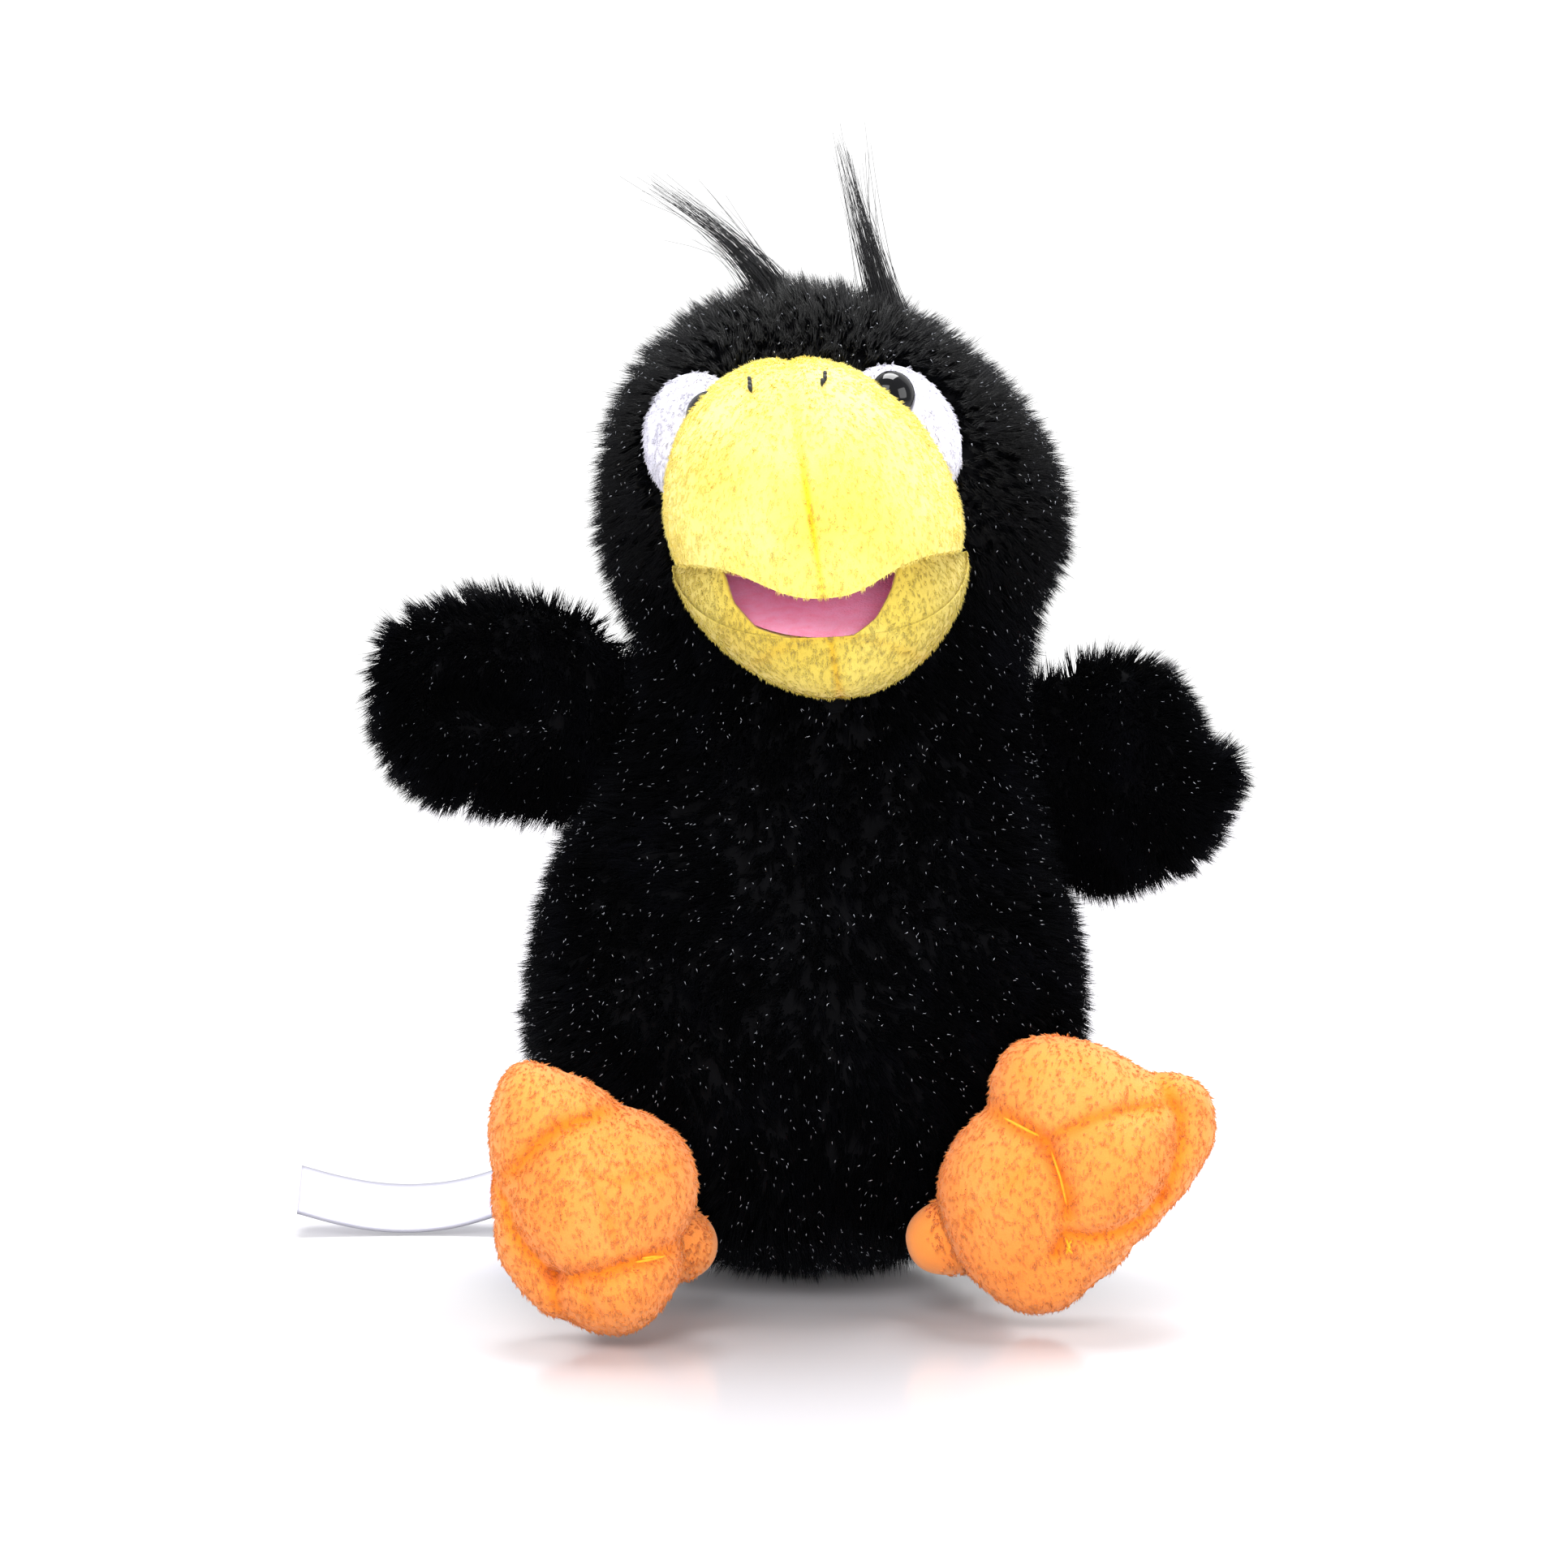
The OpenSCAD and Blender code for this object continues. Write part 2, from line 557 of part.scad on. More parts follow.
// Leg: a stuffed tube with a round end at the hip, running into the back of the foot
left_hip = [33, -57, 19];
right_hip = [-30, -59, 18];
leg_reach = 0.62; // how much of the way to the foot's middle the tube runs
module leg_bar(foot, hip, r, extra = 0) {
    run = foot[1] + [0, 2, -8] - hip;
    translate(hip) rotate([0, acos(run[2] / norm(run)), atan2(run[1], run[0])]) {
        cylinder(r = r, h = norm(run) * leg_reach + extra, $fn = 32);
        sphere(r = r, $fn = 32);
    }
}
module leg_tube(foot, hip) {
    color(plush_orange) leg_bar(foot, hip, leg_r);
}

// ---- nodes -------------------------------------------------------------

body_cover();
body_stuffing();
sleeve_lining();
opening_hem();
seat_pellet_bag();
care_label();
neck_lining();
head_cover();
head_stuffing();
upper_beak_left_panel();
upper_beak_right_panel();
upper_beak_stuffing();
upper_mouth_lining();
upper_mouth_plate();
eye_patch(1);  // left_eye_patch
eye_patch(-1);  // right_eye_patch
eye(1);  // left_eye
eye(-1);  // right_eye
eye_washer(1);  // left_eye_washer
eye_washer(-1);  // right_eye_washer
nostril_stitches();
left_crest_tuft();
right_crest_tuft();
lower_beak_left_panel();
lower_beak_right_panel();
lower_beak_stuffing();
lower_mouth_lining();
lower_mouth_plate();
wing_cover(left_wing_place);  // left_wing_cover
wing_stuffing(left_wing_place);  // left_wing_stuffing
wing_cover(right_wing_place);  // right_wing_cover
wing_stuffing(right_wing_place);  // right_wing_stuffing
leg_tube(left_foot, left_hip);  // left_leg_tube
foot_sole(left_foot);  // left_foot_sole
foot_upper(left_foot, left_hip);  // left_foot_upper
foot_stuffing(left_foot, left_hip);  // left_foot_stuffing
foot_stitches(left_foot);  // left_foot_stitches
leg_tube(right_foot, right_hip);  // right_leg_tube
foot_sole(right_foot);  // right_foot_sole
foot_upper(right_foot, right_hip);  // right_foot_upper
foot_stuffing(right_foot, right_hip);  // right_foot_stuffing
foot_stitches(right_foot);  // right_foot_stitches
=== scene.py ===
# %% [markdown]
# # A seated plush bird, worked by a hand
#
# This file dresses a ready frame: the puppet's joints, openings and sizes are fixed elsewhere, and
# here each part gets the surface that a viewer sees. The real thing is sewn from three cloths, a
# long black fur, short yellow and orange plush, and pink fleece. Cloth with a pile looks the way it
# does because of its fibres, so most of this lesson is about growing fibres on a surface.
# %% Load the frame
import math
import bpy
import numpy as np
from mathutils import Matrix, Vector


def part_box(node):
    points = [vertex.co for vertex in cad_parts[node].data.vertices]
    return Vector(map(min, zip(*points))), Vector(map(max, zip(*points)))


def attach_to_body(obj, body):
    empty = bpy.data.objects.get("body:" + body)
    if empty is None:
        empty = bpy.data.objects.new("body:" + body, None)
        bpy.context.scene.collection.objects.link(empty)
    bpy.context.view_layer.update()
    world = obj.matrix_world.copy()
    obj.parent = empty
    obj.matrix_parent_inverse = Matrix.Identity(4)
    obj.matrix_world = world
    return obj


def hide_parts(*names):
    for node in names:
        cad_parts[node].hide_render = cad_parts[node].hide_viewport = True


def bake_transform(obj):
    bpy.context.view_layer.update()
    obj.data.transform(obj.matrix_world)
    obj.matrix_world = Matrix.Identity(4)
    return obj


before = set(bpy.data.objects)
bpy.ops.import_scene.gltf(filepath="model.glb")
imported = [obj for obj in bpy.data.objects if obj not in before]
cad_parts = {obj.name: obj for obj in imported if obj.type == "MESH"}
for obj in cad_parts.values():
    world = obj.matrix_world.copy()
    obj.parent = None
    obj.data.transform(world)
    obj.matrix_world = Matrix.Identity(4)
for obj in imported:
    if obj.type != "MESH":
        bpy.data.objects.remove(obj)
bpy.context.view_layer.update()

# %% [markdown]
# ## Meshes from arrays
#
# Every surface below is a function of two numbers, u round the shape and v along it. Working out
# whole arrays of points at once keeps the script quick, and the same function then serves twice:
# for the cloth itself and for the roots of the fibres that grow out of it.
# %% Mesh helpers
MM = 0.001
TURN = 2 * math.pi
SIDES = ((1, "left"), (-1, "right"))


def place(piece, body, slot, *nodes):
    """Rides a piece on its body and hides the nodes that it stands for; slot is not used."""
    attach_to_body(piece, body)
    if nodes:
        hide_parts(*nodes)


def make_piece(name, points, faces, materials):
    """A mesh object from points in millimetres and faces that all have the same number of corners."""
    mesh = bpy.data.meshes.new(name)
    points, faces = np.asarray(points, float) * MM, np.asarray(faces, int)
    mesh.vertices.add(len(points))
    mesh.vertices.foreach_set("co", points.astype(np.float32).ravel())
    mesh.loops.add(faces.size)
    mesh.loops.foreach_set("vertex_index", faces.astype(np.int32).ravel())
    mesh.polygons.add(len(faces))
    mesh.polygons.foreach_set("loop_start", (np.arange(len(faces)) * faces.shape[1]).astype(np.int32))
    for material in materials:
        mesh.materials.append(material)
    mesh.update(calc_edges=True)
    mesh.validate()
    mesh.shade_smooth()
    piece = bpy.data.objects.new(name, mesh)
    bpy.context.scene.collection.objects.link(piece)
    return piece


def thicken(piece, millimetres):
    """Gives a skin a wall of this thickness on its inner side."""
    wall = piece.modifiers.new("thickness", "SOLIDIFY")
    wall.thickness, wall.offset = millimetres * MM, -1
    return wall


def grid_faces(columns, rows, closed=True):
    """Four-cornered faces between rows of points; a closed grid joins its last column to its first."""
    i, j = np.meshgrid(np.arange(columns if closed else columns - 1), np.arange(rows - 1), indexing="ij")
    right = (i + 1) % columns
    return np.stack([j * columns + i, j * columns + right, (j + 1) * columns + right,
                     (j + 1) * columns + i], -1).reshape(-1, 4)


def unit(vectors):
    """Each vector divided by its own length."""
    return vectors / np.maximum(np.linalg.norm(vectors, axis=-1, keepdims=True), 1e-9)


def rotation(axis, angle):
    """The matrix that turns a column vector about x, y or z."""
    c, s = math.cos(angle), math.sin(angle)
    return np.array({"x": [[1, 0, 0], [0, c, -s], [0, s, c]],
                     "y": [[c, 0, s], [0, 1, 0], [-s, 0, c]],
                     "z": [[c, -s, 0], [s, c, 0], [0, 0, 1]]}[axis])


def normals_of(surface, u, v, step=1e-3):
    """Outward direction of a surface: the cross product of its slopes along u and along v."""
    along_u = surface(u + step, v) - surface(u - step, v)
    along_v = surface(u, np.clip(v + step, 0, 1)) - surface(u, np.clip(v - step, 0, 1))
    return unit(np.cross(along_u, along_v))


def surface_grid(surface, columns, rows, v_from, v_to):
    """Points of a surface that is closed in u, row by row along v."""
    u, v = np.meshgrid(np.arange(columns) / columns, np.linspace(v_from, v_to, rows))
    return surface(u.ravel(), v.ravel())


def smooth_rows(table, rows):
    """A table carried along its own length by cubic curves, with slopes from the neighbouring rows."""
    table = np.asarray(table, float)
    gaps = np.linalg.norm(np.diff(table[:, :3], axis=0), axis=1)
    place = np.concatenate([[0], np.cumsum(gaps)])
    slopes = np.gradient(table, place, axis=0)
    at = np.linspace(0, place[-1], rows)
    k = np.clip(np.searchsorted(place, at, side="right") - 1, 0, len(table) - 2)
    gap = (place[k + 1] - place[k])[:, None]
    t = ((at - place[k]) / gap[:, 0])[:, None]
    return ((2 * t**3 - 3 * t**2 + 1) * table[k] + (t**3 - 2 * t**2 + t) * gap * slopes[k]
            + (-2 * t**3 + 3 * t**2) * table[k + 1] + (t**3 - t**2) * gap * slopes[k + 1])


# %% [markdown]
# ## Cloth materials
#
# Plush and fleece scatter light softly and glow a little at their edges, which the sheen socket
# gives. Their colour is never quite even, because the pile lies this way and that, so noise on
# Object coordinates shifts it between a few tones, and painted shade darkens it to a deeper tone
# down in the pile.
# %% Material helpers


def noise_colour(nodes, links, tones, scale):
    """Noise on Object coordinates, turned into a colour between the given tones."""
    where = nodes.new("ShaderNodeTexCoord")
    noise = nodes.new("ShaderNodeTexNoise")
    noise.inputs["Scale"].default_value = scale
    noise.inputs["Detail"].default_value = 3.0
    ramp = nodes.new("ShaderNodeValToRGB")
    ramp.color_ramp.elements[0].position = 0.34
    ramp.color_ramp.elements[1].position = 0.66
    ramp.color_ramp.elements[0].color = (*tones[0], 1)
    ramp.color_ramp.elements[1].color = (*tones[-1], 1)
    for i, tone in enumerate(tones[1:-1], 1):
        ramp.color_ramp.elements.new(0.34 + 0.32 * i / (len(tones) - 1)).color = (*tone, 1)
    links.new(where.outputs["Object"], noise.inputs["Vector"])
    links.new(noise.outputs["Fac"], ramp.inputs["Fac"])
    return where, ramp


def cloth(name, tones, scale, roughness=0.9, sheen=0.3, sheen_tint=(1, 1, 1), bump=0.0, bump_scale=2500,
          specular=0.3, painted_shade_tone=None):
    """A pile fabric: noise between tones, painted shade as a deeper tone down in the pile, sheen and a fine
    bump.
    """
    material = bpy.data.materials.new(name)
    material.use_nodes = True
    nodes, links = material.node_tree.nodes, material.node_tree.links
    shader = nodes["Principled BSDF"]
    where, ramp = noise_colour(nodes, links, tones, scale)
    colour = ramp.outputs["Color"]
    # Painted shade: the colour is mixed towards the shade tone by the 'deep' attribute.
    if painted_shade_tone:
        depth = nodes.new("ShaderNodeAttribute")
        depth.attribute_name = "deep"
        mix = nodes.new("ShaderNodeMix")
        mix.data_type = "RGBA"
        mix.inputs["B"].default_value = (*painted_shade_tone, 1)
        links.new(depth.outputs["Fac"], mix.inputs["Factor"])
        links.new(colour, mix.inputs["A"])
        colour = mix.outputs["Result"]
    links.new(colour, shader.inputs["Base Color"])
    shader.inputs["Roughness"].default_value = roughness
    shader.inputs["Sheen Weight"].default_value = sheen
    shader.inputs["Sheen Roughness"].default_value = 0.5
    shader.inputs["Sheen Tint"].default_value = (*sheen_tint, 1)
    shader.inputs["Specular IOR Level"].default_value = specular
    if bump:
        grain = nodes.new("ShaderNodeTexNoise")
        grain.inputs["Scale"].default_value = bump_scale
        grain.inputs["Detail"].default_value = 4
        height = nodes.new("ShaderNodeBump")
        height.inputs["Strength"].default_value = bump
        height.inputs["Distance"].default_value = 0.0006
        links.new(where.outputs["Object"], grain.inputs["Vector"])
        links.new(grain.outputs["Fac"], height.inputs["Height"])
        links.new(height.outputs["Normal"], shader.inputs["Normal"])
    return material


def plain(name, colour, roughness, specular=0.5):
    """A finish that is the same all over, such as polished plastic, or one bright fibre that paints a glint.
    """
    material = bpy.data.materials.new(name)
    material.use_nodes = True
    shader = material.node_tree.nodes["Principled BSDF"]
    shader.inputs["Base Color"].default_value = (*colour, 1)
    shader.inputs["Roughness"].default_value = roughness
    shader.inputs["Specular IOR Level"].default_value = specular
    return material


def shine_by_height(material, low, high, dull, bright):
    """The pile on the crown lies smoother and shines more than the rubbed pile on the belly."""
    nodes, links = material.node_tree.nodes, material.node_tree.links
    where, parts = nodes.new("ShaderNodeTexCoord"), nodes.new("ShaderNodeSeparateXYZ")
    scale = nodes.new("ShaderNodeMapRange")
    for slot, value in (("From Min", low), ("From Max", high), ("To Min", dull), ("To Max", bright)):
        scale.inputs[slot].default_value = value
    links.new(where.outputs["Object"], parts.inputs["Vector"])
    links.new(parts.outputs["Z"], scale.inputs["Value"])
    links.new(scale.outputs["Result"], nodes["Principled BSDF"].inputs["Specular IOR Level"])


# %% [markdown]
# ## The puppet's own finishes
#
# Each finish is named for its cloth and keeps its tones in linear colour. The beak and foot plush
# share one feel and differ in colour only. The lower beak's plush is a darker yellow: painted shade
# for the upper beak's shadow over it.
# %% Finishes of this puppet
PLUSH = dict(roughness=0.85, sheen=0.2, bump=0.4)
fur_cloth = cloth("black_fur_backing", [(0.0015, 0.0015, 0.002), (0.003, 0.003, 0.004)], 120, sheen=0.0,
                  specular=0.1)
fur_fibre = cloth("black_fur_fibre", [(0.0004, 0.0004, 0.0005), (0.0008, 0.0008, 0.0012),
                                      (0.002, 0.0021, 0.0034)], 70, roughness=0.42, sheen=0.01,
                  sheen_tint=(0.75, 0.82, 1.0), specular=0.1,
                  painted_shade_tone=(0.0004, 0.0004, 0.0004))
shine_by_height(fur_fibre, 0.165, 0.245, 0.015, 0.32)
# Bright fibres set among the black fur: painted glints, standing in for the fur's sparkle.
fur_glint = plain("painted_glint_fibre", (0.5, 0.52, 0.58), 0.15, specular=1.0)
crest_fibre = cloth("crest_fibre", [(0.003, 0.003, 0.004), (0.012, 0.012, 0.015)], 200,
                    roughness=0.4, sheen=0.05)
yellow_pile = cloth("yellow_plush", [(0.90, 0.71, 0.135), (0.92, 0.77, 0.185), (0.93, 0.81, 0.24)], 45,
                    **PLUSH, painted_shade_tone=(0.86, 0.56, 0.015))
# The lower beak's yellow is darker: painted shade under the upper beak.
jaw_pile_painted_shade = cloth("lower_yellow_plush_painted_shade", [(0.56, 0.42, 0.054), (0.60, 0.475, 0.075), (0.63, 0.52, 0.11)], 45,
                 **PLUSH, painted_shade_tone=(0.56, 0.34, 0.012))
orange_pile = cloth("orange_plush", [(0.84, 0.25, 0.037), (0.88, 0.285, 0.048), (0.90, 0.32, 0.068)], 45,
                    **PLUSH, painted_shade_tone=(0.82, 0.22, 0.008))
white_pile = cloth("white_plush", [(0.70, 0.69, 0.79), (0.77, 0.76, 0.85)], 150,
                   roughness=0.9, sheen=0.2, bump=0.4, painted_shade_tone=(0.50, 0.48, 0.60))
pink_fleece = cloth("pink_fleece", [(0.95, 0.30, 0.52), (0.97, 0.37, 0.62), (0.98, 0.44, 0.70)], 350,
                    roughness=0.95, sheen=0.8, sheen_tint=(1.0, 0.6, 0.75), bump=0.7, bump_scale=1600,
                    painted_shade_tone=(0.72, 0.06, 0.13))
eye_plastic = plain("eye_plastic", (0.002, 0.002, 0.003), 0.07, specular=0.35)
black_thread = cloth("black_thread", [(0.004, 0.004, 0.004), (0.012, 0.012, 0.014)], 900,
                     roughness=0.6, sheen=0.1)
orange_thread = cloth("orange_thread", [(0.92, 0.30, 0.003), (0.98, 0.40, 0.008)], 900,
                      roughness=0.5, sheen=0.1)
satin = cloth("satin_tape", [(0.48, 0.47, 0.60), (0.56, 0.55, 0.67)], 90, roughness=0.35, sheen=0.1, bump=0.2,
              bump_scale=3000, specular=0.5, painted_shade_tone=(0.24, 0.24, 0.28))

# %% [markdown]
# ## The form of the body and head
#
# The body and head are one soft egg, so both are ellipses stacked up a leaning middle line. The
# table below is the outline of the fur's tips: height, half width, half depth and middle. The cloth
# itself lies a pile's depth inside that outline.
# %% Figure outline
figure_table = [
    [0, 0.5, 0.5, 0, -2], [0, 9, 9, 0, -2], [0.4, 16, 15, 0, -2], [2.5, 27, 26, 0, -2],
    [8, 38.5, 37.5, 0, -2],
    [18, 51.5, 50, 0, -2], [32, 62, 57, 0, -3], [50, 69, 61, 0, -3], [64, 71, 62, 0, -3],
    [84, 69, 59, 0.5, -2], [104, 63.5, 54.5, 0.5, -1], [120, 58, 50.5, 2.5, 0], [132, 53.5, 47.5, 5, 0],
    [146, 50.8, 46.2, 6.5, 0], [158, 51.5, 46.5, 6.5, 0], [168, 55, 48.5, 6.5, -1], [182, 58.8, 50.5, 7, -2],
    [198, 57.8, 50.5, 6, -2], [212, 53, 47.5, 4, -2], [223, 45.5, 42, 1.8, -1], [232, 37, 34.5, 0.6, 0],
    [239, 27, 25, 0, 1], [243.5, 15.5, 14.5, -1.2, 2], [245.5, 5, 5, -1.6, 2], [245.8, 0.3, 0.3, -1.6, 2]]
figure_rows = smooth_rows(figure_table, 400)
FIGURE_TOP = 246.0
PILE = 7.0  # depth of the long pile, from the cloth to the tips' outline


def figure(u, v):
    """Ellipse round the figure: half width by the cosine and half depth by the sine of the turn."""
    k = np.clip(v, 0, 1) * (len(figure_rows) - 1)
    z, wide, deep, x, y = (np.interp(k, np.arange(len(figure_rows)), column) for column in figure_rows.T)
    return np.stack([x + wide * np.cos(TURN * u), y + deep * np.sin(TURN * u), z], -1)


def inside(surface, depth):
    """The same surface moved inwards along its own normals."""
    return lambda u, v: surface(u, v) - depth * normals_of(surface, u, v)


def height_share(z):
    """How far along the outline a height lies, on the part that rises all the way."""
    k = np.argmax(figure_rows[:, 0] >= z)
    return k / (len(figure_rows) - 1)


low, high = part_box("body_cover")
print("body cover is", [round((b - a) / MM) for a, b in zip(low, high)], "mm")

# %% [markdown]
# ## Growing a pile
#
# A fibre is a long thin spike with three sides, only four faces, because there are hundreds of
# thousands. Real pile sticks together in small tufts, and that is what the eye reads as fur. So a
# tuft is grown at a time: its fibres start spread out and their tips lean towards each other.
# %% Pile helpers
CELLS = 220  # cells each way that a surface is divided into before roots are drawn


def scatter(surface, count, rng, keep, v_range=(0.0, 1.0), u_range=(0.0, 1.0)):
    """Random (u, v) spread evenly by area: cells are drawn in proportion to their area."""
    u_edges, v_edges = np.linspace(*u_range, CELLS + 1), np.linspace(*v_range, CELLS + 1)
    u, v = np.meshgrid((u_edges[1:] + u_edges[:-1]) / 2, (v_edges[1:] + v_edges[:-1]) / 2, indexing="ij")
    du, dv = (u_edges[1] - u_edges[0]) / 2, (v_edges[1] - v_edges[0]) / 2
    across = surface((u + du).ravel(), v.ravel()) - surface((u - du).ravel(), v.ravel())
    along = surface(u.ravel(), (v + dv).ravel()) - surface(u.ravel(), (v - dv).ravel())
    area = np.linalg.norm(np.cross(across, along), axis=-1)
    if keep is not None:
        area = area * keep(surface(u.ravel(), v.ravel()))
    picked = rng.choice(area.size, count, p=area / area.sum())
    return (u.ravel()[picked] + rng.uniform(-du, du, count), v.ravel()[picked] + rng.uniform(-dv, dv, count),
            area.sum())


def spikes(roots, along, radius, rng):
    """Three-sided spikes: a small triangle round each root and one point at the end of its direction."""
    count = len(roots)
    side = unit(np.cross(along, unit(rng.normal(size=(count, 3)))))
    other = np.cross(unit(along), side)
    turns = TURN * np.arange(3) / 3
    ring = (roots[:, None] + np.reshape(radius, (-1, 1, 1))
            * (side[:, None] * np.cos(turns)[:, None] + other[:, None] * np.sin(turns)[:, None]))
    points = np.concatenate([ring, (roots + along)[:, None]], 1).reshape(-1, 3)
    faces = (np.array([[0, 2, 1], [0, 1, 3], [1, 2, 3], [2, 0, 3]])[None]
             + 4 * np.arange(count)[:, None, None]).reshape(-1, 3)
    return points, faces


def write_shade(piece, values):
    """Stores painted shade: how deep in the pile each point lies, for the material to darken."""
    layer = piece.data.attributes.new("deep", "FLOAT", "POINT")
    layer.data.foreach_set("value", np.asarray(values, np.float32))


def shade(piece, deep):
    """The same painted shade for a skin, from its own points; the skin under a pile is always partly in the
    dark.
    """
    points = np.empty(3 * len(piece.data.vertices), np.float32)
    piece.data.vertices.foreach_get("co", points)
    write_shade(piece, np.clip(0.12 + deep(points.reshape(-1, 3).astype(float) / MM), 0, 1))


def grow(name, surface, count, rng, materials, length, radius, comb, lean=0.6, tuft=8, spread=1.0, gather=0.6,
         jitter=0.15, keep=None, floor=None, deep=None, root_shade=0.12, **where):
    """Tufts of spikes: each leans from the normal towards the comb direction, and its tips draw together."""
    tufts = max(count // tuft, 1)
    u, v, area = scatter(surface, tufts, rng, keep, **where)
    centre, normal = surface(u, v), normals_of(surface, u, v)
    way = comb(centre)
    way = unit(way - normal * np.sum(way * normal, -1, keepdims=True) + 1e-6)
    third = np.cross(normal, way)
    lean_by = lean * rng.uniform(0.5, 1.4, (tufts, 1))
    main = unit(normal * np.cos(lean_by) + way * np.sin(lean_by) + jitter * rng.normal(size=(tufts, 3)))
    size = length * rng.uniform(0.82, 1.12, (tufts, 1))
    angle, out = rng.uniform(0, TURN, (tufts, tuft, 1)), spread * np.sqrt(rng.uniform(0, 1, (tufts, tuft, 1)))
    offset = out * (np.cos(angle) * way[:, None] + np.sin(angle) * third[:, None])
    reach = (size * main)[:, None] * rng.uniform(0.78, 1.06, (tufts, tuft, 1)) - gather * offset
    reach = reach + 0.06 * length * rng.normal(size=reach.shape)
    roots = (centre[:, None] + offset).reshape(-1, 3)
    reach = reach.reshape(-1, 3)
    if floor is not None:
        reach[:, 2] = np.maximum(roots[:, 2] + reach[:, 2], floor) - roots[:, 2]
    thick = radius * rng.uniform(0.7, 1.2, len(roots))
    points, faces = spikes(roots, reach, thick, rng)
    print(f"{name}: {len(roots)} fibres, {len(roots) / area:.1f} a square millimetre")
    piece = make_piece(name, points, faces, materials)
    # Painted shade: each fibre's root is darkened by root_shade, and by the deep mask where one is given.
    low = np.repeat(np.zeros(len(roots)) if deep is None else deep(roots), 4)
    values = np.clip(low + np.tile([root_shade] * 3 + [0.0], len(roots)), 0, 1)
    write_shade(piece, values)
    return piece


# How the pile of the beak lies: flat, in small loose tufts
SHORT_PILE = dict(lean=1.4, tuft=4, spread=0.5, gather=0.3, jitter=0.1, root_shade=0.03)


def downwards(centre):
    """The pile of the figure is combed down, and a slow wave turns it a little this way and that."""
    x, y, z = centre.T
    sway = 0.5 * np.sin(x / 9 + z / 14) + 0.4 * np.sin(y / 8 - z / 11 + 1.3)
    return np.stack([sway, 0.5 * np.sin(z / 10 + x / 13), -np.ones_like(x)], -1)


# %% [markdown]
# ## The face frame
#
# The beak, eyes and mouth belong to a face that leans: its middle line drifts to one side as it
# rises. Working in the face's own upright numbers and leaning them at the end keeps the two sides
# of each shape alike.
# %% Face frame
JAW_HINGE = np.array([3.0, -44.0, 183.0])
LEAN, TILT = 0.16, 0.05


def face(p):
    """Leans a point of the face: sideways with its height, and its height a little with its side."""
    x, y, z = p[..., 0], p[..., 1], p[..., 2]
    return JAW_HINGE + np.stack([x - LEAN * z, y, z + TILT * x], -1)


def off_face(p):
    """The face's own numbers for a point of the figure: the lean taken out again."""
    x, y, z = np.moveaxis(p - JAW_HINGE, -1, 0)
    return np.stack([x + LEAN * (z - TILT * x), y, z - TILT * x], -1)


BEAK_W, BEAK_LEN, BEAK_H, HOOK = 35.6, 53.0, 45.5, 5.5
PATCH_W, PATCH_H, PATCH_X, PATCH_Z, PATCH_LEAN = 13.8, 16.5, 23.8, 26.0, math.radians(18)


def patch_share(p, side):
    """1 on the rim of an eye patch, less inside it: the distance from its middle in a leaning oval."""
    x, z = p[..., 0] - side * PATCH_X, p[..., 2] - PATCH_Z
    along = x * math.cos(PATCH_LEAN) + side * z * math.sin(PATCH_LEAN)
    up = -side * x * math.sin(PATCH_LEAN) + z * math.cos(PATCH_LEAN)
    return np.hypot(along / PATCH_W, up / PATCH_H)


def from_opening(p):
    """Distance from the middle of the round hand opening, seen from behind."""
    return np.hypot(p[..., 0] - 3, p[..., 2] - 50)


def furry(p):
    """Where the long pile grows: not on the patches, the beak's root, the mouth or the hand opening."""
    q = off_face(p)
    front = q[..., 1] < 22
    beak = (np.hypot(q[..., 0] / (BEAK_W - 2), q[..., 2] / np.where(q[..., 2] > 0, BEAK_H - 2, 20)) < 1)
    patches = (patch_share(q, 1) < 1) | (patch_share(q, -1) < 1)
    opening = (p[..., 1] > 0) & (from_opening(p) < 30)
    return ~(front & (beak | patches)) & ~opening


# %% [markdown]
# ## The black fur
#
# The fur covers the seat, the belly, the neck and the head in one flow, but the neck bends. So the
# skin is cut at four heights: below and above the neck it rides on one body, and the two bands
# between them are fixed where they are drawn and ride on neither.
# %% Fur bands
BANDS = [("body", 0.0, 125.0), ("neck_low", 125.0, 143.0), ("neck_high", 143.0, 163.0),
         ("head", 163.0, FIGURE_TOP)]
SEAMS = {"neck_low": ("body", "neck"), "neck_high": ("neck", "head")}
backing = inside(figure, PILE)
quality = 1.0


def band_range(low_z, high_z):
    """Where a band starts and ends along the outline; the first and last run on to its ends."""
    return tuple(height_share(z) if 0 < z < FIGURE_TOP else float(z > 0) for z in (low_z, high_z))


def attach(piece, band, low_z, high_z):
    """Rides a band of the figure on its body; a band that spans a joint is fixed where it is drawn."""
    if band in SEAMS:
        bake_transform(piece)
    else:
        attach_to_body(piece, band)


for band, low_z, high_z in BANDS:
    v_from, v_to = band_range(low_z, high_z)
    rows = max(int((high_z - low_z) / 1.6), 10)
    columns = 200
    points = surface_grid(backing, columns, rows, v_from, v_to)
    quads = grid_faces(columns, rows)
    middles = points[quads].mean(1)
    q = off_face(middles)
    hole = (middles[:, 1] > 0) & (from_opening(middles) < 28)
    mouth = (q[:, 1] < 10) & (np.abs(q[:, 0]) < BEAK_W - 7) & (q[:, 2] > -4) & (q[:, 2] < 20)
    skin = make_piece(f"{band}_fur_backing", points, quads[~(hole | mouth)], [fur_cloth])
    thicken(skin, 1.2)
    attach(skin, band, low_z, high_z)
    if band == "body":
        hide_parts("body_cover")
    if band == "head":
        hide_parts("head_cover")

